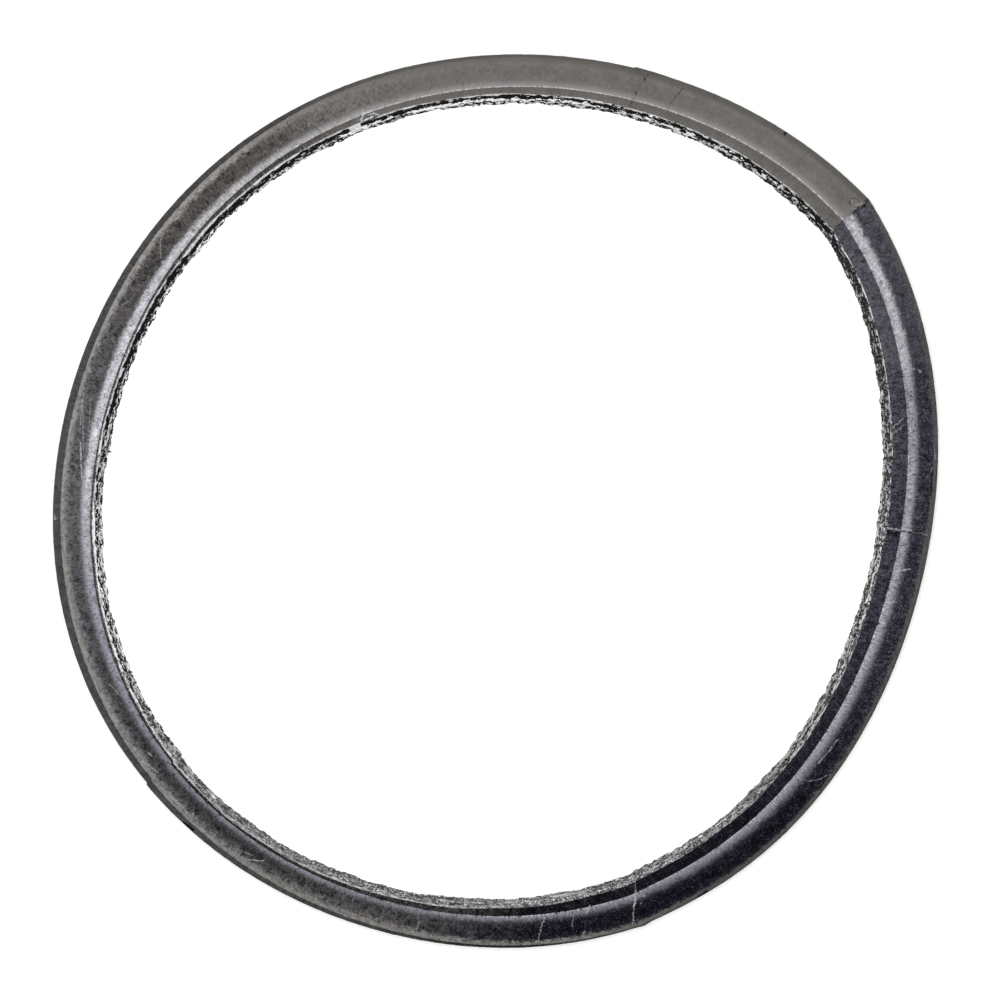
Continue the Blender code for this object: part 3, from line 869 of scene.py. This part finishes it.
# The tones of dark and of light blocks, the share of light ones, the size of a block along and
# across, how metallic the light ones are, and the tone of the ply's clean outer cut
tornPlies = {
    "upperSteel": {
        "dark": ((justAfter, (64, 63, 64)), (225, "ash"), (262, "ash"), (justBefore, "body")),
        "light": (
            (justAfter, "steelDull"), (60, "silver"), (165, "silver"), (180, "steel"),
            (205, "steel"), (230, "steelDull"), (262, "silver"), (268, "steelDull"),
            (312, "steelDull"), (318, "silver"), (340, "steelDull"), (0, "silver"),
            (justBefore, "steel"),
        ),
        "share": (
            (justAfter, 0.72), (84, 0.75), (90, 0.8), (110, 0.8), (165, 0.75), (186, 0.85),
            (206, 0.65), (262, 0.7), (268, 0.35), (312, 0.35), (318, 0.6), (338, 0.6), (343, 0.2),
            (355, 0.25), (8, 0.55), (38, 0.65),
        ),
        "block": (2.0, 0.5),
        "metal": 0.2,
        "rim": "ash",
        "seed": 11.0,
    },
    "coreGraphite": {
        "dark": (
            (178, "coal"), (206, (30, 29, 30)), (228, (84, 83, 84)), (290, (84, 83, 83)),
            (312, (60, 59, 58)), (350, (50, 49, 50)), (justBefore, (26, 25, 27)),
        ),
        "light": (
            (justAfter, "steelDull"), (60, "steel"), (84, "steel"), (104, "steelDull"),
            (172, "steelDull"), (188, "steel"), (208, "steelDull"), (236, (134, 133, 134)),
            (300, (150, 149, 149)), (345, "silver"), (5, (164, 163, 164)),
        ),
        "share": (
            (justAfter, 0.14), (60, 0.2), (84, 0.22), (90, 0.15), (112, 0.13), (160, 0.13),
            (176, 0.2), (190, 0.38), (212, 0.36), (236, 0.45), (312, 0.36), (322, 0.26),
            (342, 0.38), (8, 0.32), (17, 0.28), (19, 0.18),
        ),
        "block": (1.4, 0.52),
        "metal": 0.12,
        "rim": "body",
        "seed": 21.0,
    },
    "lowerSteel": {
        "dark": (
            (172, (26, 25, 26)), (228, (80, 79, 80)), (300, (80, 79, 80)), (350, (56, 55, 56)),
            (justBefore, (36, 35, 38)),
        ),
        "light": (
            (justAfter, "silver"), (84, "steel"), (118, "steel"), (140, "steelDull"),
            (172, "silver"), (200, "silver"), (232, (156, 155, 156)), (justBefore, "steelDull"),
        ),
        "share": (
            (justAfter, 0.5), (62, 0.55), (84, 0.64), (90, 0.88), (106, 0.88), (112, 0.5),
            (122, 0.38), (128, 0.25), (145, 0.3), (170, 0.45), (190, 0.5), (226, 0.42), (340, 0.4),
            (8, 0.24), (justBefore, 0.26),
        ),
        "block": (1.5, 0.48),
        "metal": 0.2,
        "rim": "ash",
        "seed": 31.0,
    },
    "fringeGraphite": {
        "dark": (
            (justAfter, (30, 29, 30)), (200, (40, 39, 40)), (232, (76, 75, 76)),
            (300, (76, 75, 75)), (350, (58, 57, 57)), (justBefore, (34, 33, 35)),
        ),
        "light": (
            (justAfter, "steelDull"), (86, "silver"), (110, "silver"), (130, "steel"),
            (160, "steel"), (172, "silver"), (200, "steel"), (210, "silver"),
            (236, (128, 127, 128)), (310, (142, 141, 142)), (330, "silver"),
            (justBefore, "steelDull"),
        ),
        "share": (
            (justAfter, 0.32), (66, 0.36), (90, 0.46), (108, 0.34), (126, 0.5), (150, 0.5),
            (172, 0.38), (192, 0.58), (222, 0.42), (310, 0.45), (330, 0.5), (8, 0.42), (20, 0.26),
        ),
        "block": (1.1, 0.45),
        "metal": 0.12,
        "rim": "body",
        "seed": 41.0,
    },
}


def tornFinish(name):
    # Torn edge in small light and dark blocks. Elsewhere the ply is graphite black, with the tone
    # of its clean cut on the outer rim.
    look = {**tornLook, **tornPlies[name]}
    torn = Finish(name, look)
    seed = look["seed"]
    block = look["block"]
    cell = torn.patches(block, torn.sway(*look["blockWaver"], seed), seed + 1.0)
    grain = torn.noise((block[0] * 0.8, block[1] * 0.9), 1.0, 0.5, seed=seed + 2.0)
    fine = torn.noise(*look["fine"], seed=seed + 3.0)
    lines = torn.noise(*look["lines"], seed=seed + 5.0).spread(1.0) * torn.level("lined")
    value = (cell - 0.5) * 0.8 + grain.spread(0.16) + lines + fine.spread(0.1)
    value = value * torn.level("busy") + torn.level("share") - 0.5
    light = (value * torn.level("crisp") + 0.5).rise(0.0, 1.0)
    tone = torn.mix(torn.tone("dark"), torn.tone("light"), light)
    tone = torn.shade(tone, (1.0 + fine.spread(0.08) + grain.spread(0.14)).most(0.2))
    glint = torn.noise(*look["glints"], seed=seed + 6.0).rise(0.6, 0.66)
    tone = torn.mix(tone, "steel", glint * torn.level("glint"))
    place = torn.flat.vector("ADD", torn.sway(*look["strokeWaver"], seed=7.0))
    broken = fine.rise(0.4, 0.55) * 0.4 + 0.6
    tone = torn.mix(tone, "coal", torn.strokes(tornMarks["dark"], place) * broken)
    tone = torn.mix(tone, "steel", torn.strokes(tornMarks["pale"], place) * broken)
    normal = torn.start.add("ShaderNodeTexCoord", output="Normal")
    facingUp = torn.start.add("ShaderNodeSeparateXYZ", inputs={0: normal}, output=2)
    sideways = facingUp.math("ABSOLUTE").rise(0.5, 0.15)
    worn = torn.noise(*look["wear"], seed=seed + 4.0).rise(0.36, 0.64)
    body = torn.mix("coal", "body", worn)
    body = torn.mix(body, look["rim"], sideways * torn.across.rise(9.0, 9.4))
    atEdge = torn.across.rise(0.5, 0.0) * facingUp.rise(-0.7, -0.3)
    torn.set("Base Color", torn.mix(body, tone, atEdge))
    torn.set("Metallic", light * atEdge * look["metal"])
    torn.set("Roughness", look["roughness"] - light * look["lightGloss"])
    torn.set("Specular IOR Level", look["specular"])
    torn.bump(cell * 0.5 + grain * 0.6 + fine * 0.3, *look["bump"])
    return torn.material


tornFinishes = {name: tornFinish(name) for name in tornPlies}
foilFinishes = []
for number, first in enumerate(foilStretches):
    following = foilStretches[(number + 1) % len(foilStretches)]
    foilFinishes.append(graphiteFoil("facingFoil" + str(number + 1), first, following))
print("Finishes made")


# Upper facing

facing = {
    "thickness": 0.35,
    "stations": 1800,
    "crestSteps": 16,
    "filletSteps": 3,
    "flankSteps": 5,
    "lipSteps": 4,
    "edgeRound": 0.07,
    "footRound": 0.14,
    "bluntness": 0.2,
    # creases: direction and across at both ends, height and width
    "creases": (
        (17.4, 8.2, 17.9, -2.5, 0.14, 0.3), (38.95, 9.8, 39.0, -2.6, 0.16, 0.3),
        (65.75, 7.9, 66.4, 1.0, -0.2, 0.2), (70.5, 9.1, 71.4, -1.9, -0.18, 0.2),
        (120.1, 4.2, 120.6, 6.0, -0.15, 0.3), (220.2, 3.3, 220.4, 0.3, -0.1, 0.25),
        (228.3, 1.6, 228.65, 0.0, -0.15, 0.25), (235.4, 6.8, 237.0, 3.9, 0.16, 0.3),
        (259.4, 7.9, 258.8, -1.0, 0.1, 0.3), (275.5, 7.7, 276.9, 1.1, 0.18, 0.25),
        (280.1, 4.7, 280.6, 1.4, 0.1, 0.25), (282.4, 1.7, 283.0, -0.3, 0.12, 0.25),
        (287.9, 8.4, 290.1, -2.4, 0.22, 0.26), (345.9, 3.4, 345.6, 0.1, 0.1, 0.25),
        (350.7, 4.8, 349.8, -2.3, 0.14, 0.28), (355.9, 6.6, 355.9, -2.4, 0.16, 0.28),
    ),
    # pits: direction, across, depth and width
    "pits": (
        (225.1, 6.4, 0.3, 0.5), (215.0, 4.4, 0.2, 0.6), (216.2, 4.1, -0.2, 0.45),
        (229.5, 4.0, 0.18, 0.8), (112.7, 1.0, 0.16, 0.3), (116.9, 3.3, 0.15, 0.5),
        (156.4, 4.3, 0.15, 0.5), (172.7, 7.1, 0.15, 0.4), (17.2, 5.2, -0.16, 0.5),
        (24.2, 5.3, 0.12, 0.5), (28.6, 2.7, -0.12, 0.6),
    ),
    # direction, half length and depth of what is gone from the inner lip and the outer edge
    "flakes": ((108.4, 1.6, 0.7),),
    "chips": ((226.6, 1.5, 0.5), (297.2, 2.4, 0.45), (182.1, 0.6, 0.3), (51.8, 0.3, 0.5)),
    # ends of a gap: reach in half lengths, raggedness, its waver's count and seed, steepness
    "flakeEnds": (1.15, 0.25, 900, 11, 2.2),
    "chipEnds": (1.1, 0.2, 1400, 12, 2.5),
    # cuts that make the mesh finer at a crease, and how far on, in degrees
    "creaseCuts": 2,
    "creaseMargin": 0.25,
    # wavers of the cut edges: reach, how many to a turn, seed and sharpness
    "lipRag": (0.08, 1100, 13, 0.5),
    "rimRag": (0.04, 700, 14, 0.0),
    "stepDirection": 72.3,
    "stepHeight": 0.35,
    "stepReach": 6.0,
    "cornerDirection": 289.3,
    "cornerHeight": 0.3,
    "cornerWidth": 0.7,
    # peeled edge: its direction and reach in degrees, then across, width and height of what is
    # lifted and of the dip beside it
    "peel": (4.0, 7.0),
    "peelLift": (9.6, 0.4, 0.16),
    "peelDip": (8.8, 0.3, 0.14),
    # uneven surface: size and strength
    "dents": (3.2, 0.12),
    "wrinkles": (1.1, 0.08),
    # the plain side of the ring is smoother: direction, half width in degrees and share left
    "smoothSide": (75.0, 34.0, 0.25),
}


def bite(angle, gaps, ends):
    # How much of a cut edge is gone at its gaps, each with its direction, half length and depth
    reach, ragged, count, seed, steepness = facing[ends]
    total = np.zeros_like(angle)
    for direction, halfLength, depth in facing[gaps]:
        away = fromDirection(angle, direction) * plan["arc"] / halfLength
        edge = np.clip(reach - np.abs(away) - ragged * jag(angle, count, seed), 0.0, 1.0)
        total = total + depth * np.minimum(1.0, edge * steepness)
    return total


def facingLine():
    # Section of the facing, its upper side and its under side
    line = pressedLine(0.0, facing["crestSteps"], facing["filletSteps"], facing["edgeRound"])
    top = section["thickness"]
    flankAcross, flankLevel = line[-1]
    rounding = facing["footRound"]
    footAcross = rounding * math.cos(innerFlank)
    footLevel = top + rounding * math.sin(innerFlank)
    for step in range(1, facing["flankSteps"] + 1):
        share = step / facing["flankSteps"]
        across = flankAcross + (footAcross - flankAcross) * share
        line.append((across, flankLevel + (footLevel - flankLevel) * share))
    line.append((rounding * 0.25, top + rounding * 0.1))
    line.append((-rounding, top))
    lipEnd = -plan["innerLip"] + facing["edgeRound"]
    for step in range(1, facing["lipSteps"] + 1):
        share = step / facing["lipSteps"]
        line.append((-rounding + (lipEnd + rounding) * share, top))
    line.append((-plan["innerLip"] - 0.04, top - facing["edgeRound"]))
    under = toInnerFoot(facing["thickness"])
    under.append((-plan["innerLip"] - 0.08, top - facing["thickness"]))
    return line, under


def makeFacing():
    upperLine, under = facingLine()
    spans = []
    for first, _, last, *_ in facing["creases"]:
        margin = facing["creaseMargin"]
        spans.append((min(first, last) - margin, max(first, last) + margin))
    line = upperLine + under[::-1]
    piece = turnSection("ringFacing", line, facing["stations"], spans, facing["creaseCuts"])
    angle, across, level = readPoints(piece)
    topAcross, topLevel = np.array(upperLine[::-1]).T
    below = np.interp(across, topAcross, topLevel) - level
    upper = np.clip(1.0 - below / facing["bluntness"], 0.0, 1.0)
    radius = placedRadius(across, angle)
    # Cut edges
    lipEnd = np.clip((-across - plan["innerLip"] * 0.3) / (plan["innerLip"] * 0.7), 0.0, 1.0)
    gone = np.minimum(bite(angle, "flakes", "flakeEnds"), innerLip(angle) - 0.1)
    radius += lipEnd * gone - lipEnd**2 * tear(angle, 0)
    reach, *waver = facing["lipRag"]
    radius += lipEnd**2 * reach * jag(angle, *waver)
    rim = np.clip((across - plan["ridge"] - 0.3) / (plan["outerLip"] - 0.3), 0.0, 1.0)
    radius -= rim * np.minimum(bite(angle, "chips", "chipEnds"), 0.7 * outerLip(angle))
    reach, *waver = facing["rimRag"]
    radius += rim * reach * jag(angle, *waver)
    # Step and corner of the outer edge
    step = fromDirection(angle, facing["stepDirection"])
    stepShare = np.clip(1.0 + step / facing["stepReach"], 0.0, 1.0)
    radius += rim * facing["stepHeight"] * stepShare * (step < 0.0)
    corner = fromDirection(angle, facing["cornerDirection"])
    radius += rim * facing["cornerHeight"] * bell(corner, facing["cornerWidth"])
    # Creases and pits
    for first, firstAcross, last, lastAcross, height, width in facing["creases"]:
        share = (firstAcross - across) / (firstAcross - lastAcross)
        wander = 0.10 * np.sin(across * 2.3 + first) + 0.05 * np.sin(across * 5.1 + last)
        away = fromDirection(angle, first) - (last - first) * share
        away = away * plan["arc"] - wander
        ends = np.clip((share + 0.04) * 10.0, 0.0, 1.0) * np.clip((1.04 - share) * 10.0, 0.0, 1.0)
        fold = bell(away, width) - 0.6 * bell(away - width * 1.6, width)
        level += upper * ends * height * fold
    for direction, middle, pitDepth, width in facing["pits"]:
        away = fromDirection(angle, direction) * plan["arc"]
        level -= upper * pitDepth * bell(np.hypot(away, across - middle), width)
    # The edge peeled up on one side of the ring
    direction, reach = facing["peel"]
    peel = np.clip(1.0 - np.abs(fromDirection(angle, direction)) / reach, 0.0, 1.0)
    middle, width, height = facing["peelLift"]
    lift = upper * peel * height * bell(across - middle, width)
    level += lift * (1.0 + 0.5 * jag(angle, 500, 15))
    middle, width, height = facing["peelDip"]
    level -= upper * peel * height * bell(across - middle, width)
    writePoints(piece, angle, across, radius, level)
    steps = np.round(upper * 4.0) / 4.0
    direction, halfWidth, left = facing["smoothSide"]
    steps = steps * np.where(np.abs(fromDirection(angle, direction)) < halfWidth, left, 1.0)
    displace(piece, "dents", steps, *facing["dents"], middle=0.62)
    displace(piece, "wrinkles", steps, *facing["wrinkles"])
    keepInHeight(piece)
    for finish in foilFinishes:
        piece.data.materials.append(finish)
    for face in piece.data.polygons:
        x = face.center.x + middleX * mm
        y = face.center.y + middleY * mm
        direction = math.degrees(math.atan2(y, x))
        turns = [(direction - first) % 360.0 for first in foilStretches]
        face.material_index = turns.index(min(turns))
    finishPiece(piece, foilFinishes[0], "facing_foil", 42.0, "upper_facing")


makeFacing()


# Plies under the facing, each with its torn inner edge. Edge: how far past the lip, and how far
# down the ply. Teeth, from broad to fine: reach, how many to a turn and sharpness. Rough: size and
# strength. Further: how much further the edge reaches, by direction. Left standing: direction,
# half length and reach.

plies = {
    "ringUpperSteel": {
        "node": "upper_steel_ply",
        "slot": "bright_steel",
        "finish": "upperSteel",
        "number": 1,
        "seed": 30,
        "stations": 2880,
        "depth": 0.38,
        "thickness": 0.25,
        "edge": ((0.30, 0.0), (0.38, 0.5), (0.40, 1.0)),
        "teeth": ((0.08, 110, 0.0), (0.2, 420, 0.4), (0.08, 1500, 0.6)),
        "rough": (0.8, 0.05),
        "further": (
            (0.0, 0.0), (84.0, 0.05), (90.0, 0.0), (118.0, 0.1), (126.0, 0.32), (143.0, 0.28),
            (150.0, 0.1), (170.0, 0.1), (184.0, 0.35), (222.0, 0.2), (262.0, 0.15), (268.0, -0.2),
            (312.0, -0.2), (318.0, 0.1), (338.0, 0.1), (343.0, -0.25), (358.0, -0.1),
        ),
        "leftStanding": ((110.75, 1.6, 1.2),),
    },
    "ringCore": {
        "node": "graphite_core",
        "slot": "core_graphite",
        "finish": "coreGraphite",
        "number": 2,
        "seed": 40,
        "stations": 2880,
        "depth": 0.66,
        "thickness": 1.05,
        "edge": ((0.42, 0.0), (0.62, 0.2), (0.8, 0.4), (1.05, 0.6), (1.3, 0.8), (1.55, 1.0)),
        "teeth": ((0.1, 110, 0.0), (0.3, 420, 0.4), (0.12, 1500, 0.6)),
        "rough": (0.8, 0.2),
        "further": (
            (0.0, 0.0), (18.0, 0.1), (38.0, 0.0), (85.0, -0.15), (107.0, 0.0), (122.0, 0.3),
            (160.0, 0.3), (170.0, 0.0),
        ),
        "leftStanding": (),
    },
    "ringLowerSteel": {
        "node": "lower_steel_ply",
        "slot": "bright_steel",
        "finish": "lowerSteel",
        "number": 3,
        "seed": 50,
        "stations": 2880,
        "depth": 1.74,
        "thickness": 0.35,
        "edge": ((1.3, 0.0), (1.75, 0.0), (2.05, 0.0), (2.15, 0.5), (2.15, 1.0)),
        "teeth": ((0.12, 110, 0.0), (0.26, 420, 0.4), (0.14, 1500, 0.6)),
        "rough": (0.8, 0.12),
        "further": ((0.0, 0.0),),
        "leftStanding": (),
    },
    "ringFringe": {
        "node": "lower_facing",
        "slot": "under_foil",
        "finish": "fringeGraphite",
        "number": 4,
        "seed": 60,
        "stations": 2880,
        "depth": 2.12,
        "thickness": 0.6,
        "edge": ((2.0, 0.0), (2.35, 0.0), (2.55, 0.1), (2.75, 0.4), (2.95, 0.75), (3.0, 1.0)),
        "teeth": ((0.12, 110, 0.0), (0.24, 420, 0.4), (0.14, 1500, 0.6)),
        "rough": (0.8, 0.18),
        "further": ((0.0, 0.0),),
        "leftStanding": ((172.7, 0.35, 0.9),),
    },
}


def makePly(name):
    values = plies[name]
    top = section["thickness"] - values["depth"]
    line = toInnerFoot(values["depth"])
    for reach, drop in values["edge"]:
        line.append((-plan["innerLip"] - reach, top - drop * values["thickness"]))
    under = toInnerFoot(values["depth"] + values["thickness"])
    piece = turnSection(name, line + under[::-1], values["stations"])
    angle, across, level = readPoints(piece)
    radius = placedRadius(across, angle)
    past = np.clip(-across - plan["innerLip"], 0.0, None)
    torn = np.clip(past / max(0.3, values["edge"][-1][0] * 0.8), 0.0, 1.0)
    reached = tear(angle, values["number"])
    for number, (reach, count, sharpness) in enumerate(values["teeth"]):
        reached = reached + reach * jag(angle, count, values["seed"] + number, sharpness)
    radius -= torn * (reached + roundTheRing(angle, values["further"]))
    for direction, halfLength, reach in values["leftStanding"]:
        away = np.abs(fromDirection(angle, direction)) * plan["arc"]
        radius -= torn * reach * (away < halfLength)
    writePoints(piece, angle, across, radius, level)
    displace(piece, name + "Rough", np.round(torn * 4.0) / 4.0, *values["rough"], "STUCCI")
    keepInHeight(piece)
    finishPiece(piece, tornFinishes[values["finish"]], values["slot"], 30.0, values["node"])


for name in plies:
    makePly(name)


# Torn bits that cling to the inner edge. Each kind is modelled once and copied.

bits = {
    # level of the torn steps, by how far they reach past the lip
    "steps": (
        (0.0, 2.3), (0.34, 2.3), (0.42, 2.06), (0.8, 1.64), (1.3, 1.2), (1.55, 1.0), (2.15, 0.98),
        (2.35, 0.6), (2.75, 0.36), (3.0, 0.05),
    ),
    "tang": {"count": 150, "size": (1.2, 0.26, 0.08), "reach": (0.3, 2.2), "seed": 51},
    "crumb": {"count": 240, "size": (0.55, 0.34, 0.3), "reach": (0.45, 2.9), "seed": 52},
    "splinter": {"count": 150, "size": (0.8, 0.18, 0.14), "reach": (0.5, 2.8), "seed": 53},
    # how uneven a crumb is
    "crumbly": 0.09,
    # how crowded the bits are, by direction
    "crowd": (
        (10.0, 0.6), (38.0, 0.3), (48.0, 0.1), (62.0, 0.2), (84.0, 0.2), (104.0, 0.1),
        (120.0, 0.1), (150.0, 0.12), (172.0, 0.6), (182.0, 1.0), (212.0, 1.0), (226.0, 0.5),
        (300.0, 0.4), (330.0, 0.3),
    ),
}


def startBit(name):
    piece = bpy.context.object
    piece.name = name
    piece.scale = tuple(value * mm for value in bits[name]["size"])
    bpy.ops.object.transform_apply(location=True, rotation=True, scale=True)
    bpy.ops.object.mode_set(mode="EDIT")
    bpy.ops.mesh.select_mode(type="VERT")
    return piece


def selectBeyond(piece, x):
    # The corners further than this along the bit
    bpy.ops.mesh.select_all(action="DESELECT")
    shape = bmesh.from_edit_mesh(piece.data)
    for vertex in shape.verts:
        vertex.select_set(vertex.co.x > x * mm)
    shape.select_flush_mode()


def makeTang():
    # A thin strip of steel with one end narrowed and bent up
    length, width, _ = bits["tang"]["size"]
    deselectAll()
    bpy.ops.mesh.primitive_cube_add(size=1.0)
    piece = startBit("tang")
    bpy.ops.mesh.subdivide(number_cuts=1)
    selectBeyond(piece, length * 0.4)
    bpy.ops.transform.resize(value=(1.0, 0.4, 1.0), center_override=(length * 0.5 * mm, 0.0, 0.0))
    bpy.ops.transform.translate(value=(0.0, 0.0, width * 0.6 * mm))
    bpy.ops.object.mode_set(mode="OBJECT")
    return piece


def makeCrumb():
    # A broken crumb of graphite
    deselectAll()
    bpy.ops.mesh.primitive_ico_sphere_add(subdivisions=1, radius=0.5)
    piece = startBit("crumb")
    bpy.ops.mesh.select_all(action="SELECT")
    bpy.ops.transform.vertex_random(offset=bits["crumbly"] * mm, uniform=1.0, seed=4)
    bpy.ops.object.mode_set(mode="OBJECT")
    return piece


def makeSplinter():
    # A crooked splinter with its point away from the ply
    length, width, _ = bits["splinter"]["size"]
    deselectAll()
    bpy.ops.mesh.primitive_cone_add(
        vertices=5, radius1=0.5, radius2=0.25, depth=0.5, rotation=(0.0, math.pi / 2.0, 0.0)
    )
    piece = startBit("splinter")
    selectBeyond(piece, 0.0)
    bpy.ops.mesh.extrude_region_move()
    bpy.ops.transform.resize(
        value=(1.0, 0.35, 0.35), center_override=(length * 0.25 * mm, 0.0, 0.0)
    )
    bpy.ops.transform.translate(value=(length * 0.4 * mm, width * 0.4 * mm, 0.0))
    bpy.ops.object.mode_set(mode="OBJECT")
    return piece


def scatter(kind, bit, finish, slot, lie, tilt):
    # Copies of one bit along the torn steps, joined into one piece
    values = bits[kind]
    random = np.random.default_rng(values["seed"])
    stepReach, stepLevel = zip(*bits["steps"])
    copies = []
    while len(copies) < values["count"]:
        angle = random.uniform(0.0, math.tau)
        if random.uniform() > roundTheRing(angle, bits["crowd"]):
            continue
        past = random.uniform(*values["reach"])
        radius = float(placedRadius(-plan["innerLip"] - past, np.array(angle)))
        level = float(np.interp(past, stepReach, stepLevel)) + random.uniform(-0.04, 0.06)
        size = random.uniform(0.55, 1.25)
        x = radius * math.cos(angle) - middleX
        y = radius * math.sin(angle) - middleY
        turn = angle + lie + random.normal(0.0, 0.35)
        if random.uniform() < 0.5:
            turn += math.pi
        spin = Euler((random.normal(0.0, tilt), random.normal(0.0, tilt), turn))
        stretch = Matrix.Diagonal((size * random.uniform(0.6, 1.4), size, size, 1.0))
        place = Matrix.Translation(Vector((x, y, level)) * mm) @ spin.to_matrix().to_4x4()
        copy = bpy.data.objects.new(kind, bit.data.copy())
        copy.data.transform(place @ stretch)
        bpy.context.collection.objects.link(copy)
        copies.append(copy)
    bpy.data.objects.remove(bit)
    deselectAll()
    for copy in copies:
        copy.select_set(True)
    bpy.context.view_layer.objects.active = copies[0]
    bpy.ops.object.join()
    piece = bpy.context.object
    piece.name = kind + "s"
    piece.data.name = kind + "s"
    points = meshPoints(piece) / mm
    x = points[:, 0] + middleX
    y = points[:, 1] + middleY
    angle = np.arctan2(y, x)
    lipRadius = innerFoot(angle) - innerLip(angle)
    writeAcross(piece, np.hypot(x, y) - lipRadius - plan["innerLip"])
    keepInHeight(piece)
    finishPiece(piece, tornFinishes[finish], slot, 25.0)


alongTheRing = math.pi / 2.0
scatter("tang", makeTang(), "lowerSteel", "bright_steel", alongTheRing, 0.2)
scatter("crumb", makeCrumb(), "coreGraphite", "core_graphite", alongTheRing, 0.5)
scatter("splinter", makeSplinter(), "fringeGraphite", "core_graphite", alongTheRing * 1.3, 0.3)


# Floor, light and camera

studio = {
    "floorSize": 6.0,
    "floorTone": 0.9,
    "floorRoughness": 0.9,
    # the floor as the camera sees it: tone and glow
    "floorSeen": 0.75,
    "floorGlow": 0.52,
    "distance": 1.6,
    "sensorWidth": 36.0,
    "nearest": 0.05,
    "furthest": 20.0,
    "pictureHeight": 1000,
    "millimetresPerPixel": 0.315,
    "lookAt": (0.79, 0.32),
    # soft room: strength low down and high up, and the heights between which it changes
    "lowLight": 2.4,
    "highLight": 0.35,
    "lightBand": (0.5, 0.12),
    "keyPower": 10.0,
    "keyPlace": (-0.3, 0.35, 1.5),
    "keySize": 1.3,
}


def makeFloor():
    deselectAll()
    bpy.ops.mesh.primitive_plane_add(size=studio["floorSize"], location=(0.0, 0.0, 0.0))
    floor = bpy.context.object
    floor.name = "floor"
    material = bpy.data.materials.new("floorWhite")
    material.use_nodes = True
    tree = material.node_tree
    shader = tree.nodes["Principled BSDF"]
    shader.inputs["Base Color"].default_value = grey(studio["floorTone"])
    shader.inputs["Roughness"].default_value = studio["floorRoughness"]
    shader.inputs["Specular IOR Level"].default_value = 0.0
    start = Wire(tree)
    half = start.add("ShaderNodeBsdfDiffuse", inputs={"Color": grey(studio["floorSeen"])})
    inputs = {"Color": grey(1.0), "Strength": studio["floorGlow"]}
    glow = start.add("ShaderNodeEmission", inputs=inputs)
    bright = start.add("ShaderNodeAddShader", inputs={0: half, 1: glow})
    seen = start.add("ShaderNodeLightPath", output="Is Camera Ray")
    mirrored = start.add("ShaderNodeLightPath", output="Is Glossy Ray")
    inputs = {0: seen.most(mirrored), 1: Wire(tree, shader.outputs[0]), 2: bright}
    both = start.add("ShaderNodeMixShader", inputs=inputs)
    tree.links.new(both.socket, tree.nodes["Material Output"].inputs["Surface"])
    floor.data.materials.append(material)


def makeLight():
    world = bpy.data.worlds.new("softRoom")
    bpy.context.scene.world = world
    world.use_nodes = True
    tree = world.node_tree
    tree.nodes.clear()
    start = Wire(tree)
    direction = start.add("ShaderNodeTexCoord", output="Generated")
    height = start.add("ShaderNodeSeparateXYZ", inputs={0: direction}, output=2)
    low = height.rise(*studio["lightBand"])
    strength = low * (studio["lowLight"] - studio["highLight"]) + studio["highLight"]
    room = start.add("ShaderNodeBackground", inputs={"Color": grey(1.0), "Strength": strength})
    white = start.add("ShaderNodeBackground", inputs={"Color": grey(1.0), "Strength": 1.0})
    seen = start.add("ShaderNodeLightPath", output="Is Camera Ray")
    both = start.add("ShaderNodeMixShader", inputs={0: seen, 1: room, 2: white})
    out = tree.nodes.new("ShaderNodeOutputWorld")
    tree.links.new(both.socket, out.inputs["Surface"])
    deselectAll()
    bpy.ops.object.light_add(type="AREA", location=studio["keyPlace"])
    key = bpy.context.object
    key.name = "keySoftbox"
    key.data.shape = "DISK"
    key.data.size = studio["keySize"]
    key.data.energy = studio["keyPower"]
    key.rotation_euler = Vector(studio["keyPlace"]).to_track_quat("Z", "Y").to_euler()


def makeCamera():
    deselectAll()
    span = studio["pictureHeight"] * studio["millimetresPerPixel"] * mm
    level = section["thickness"] * mm
    lookX, lookY = studio["lookAt"]
    bpy.ops.object.camera_add(location=(lookX * mm, lookY * mm, studio["distance"] + level))
    camera = bpy.context.object
    camera.name = "camera"
    camera.rotation_euler = (0.0, 0.0, 0.0)
    camera.data.sensor_width = studio["sensorWidth"]
    camera.data.lens = studio["sensorWidth"] * studio["distance"] / span
    camera.data.clip_start = studio["nearest"]
    camera.data.clip_end = studio["furthest"]
    bpy.context.scene.camera = camera


makeFloor()
makeLight()
makeCamera()
bpy.context.scene.view_settings.view_transform = "Standard"
print("Floor, light and camera made")
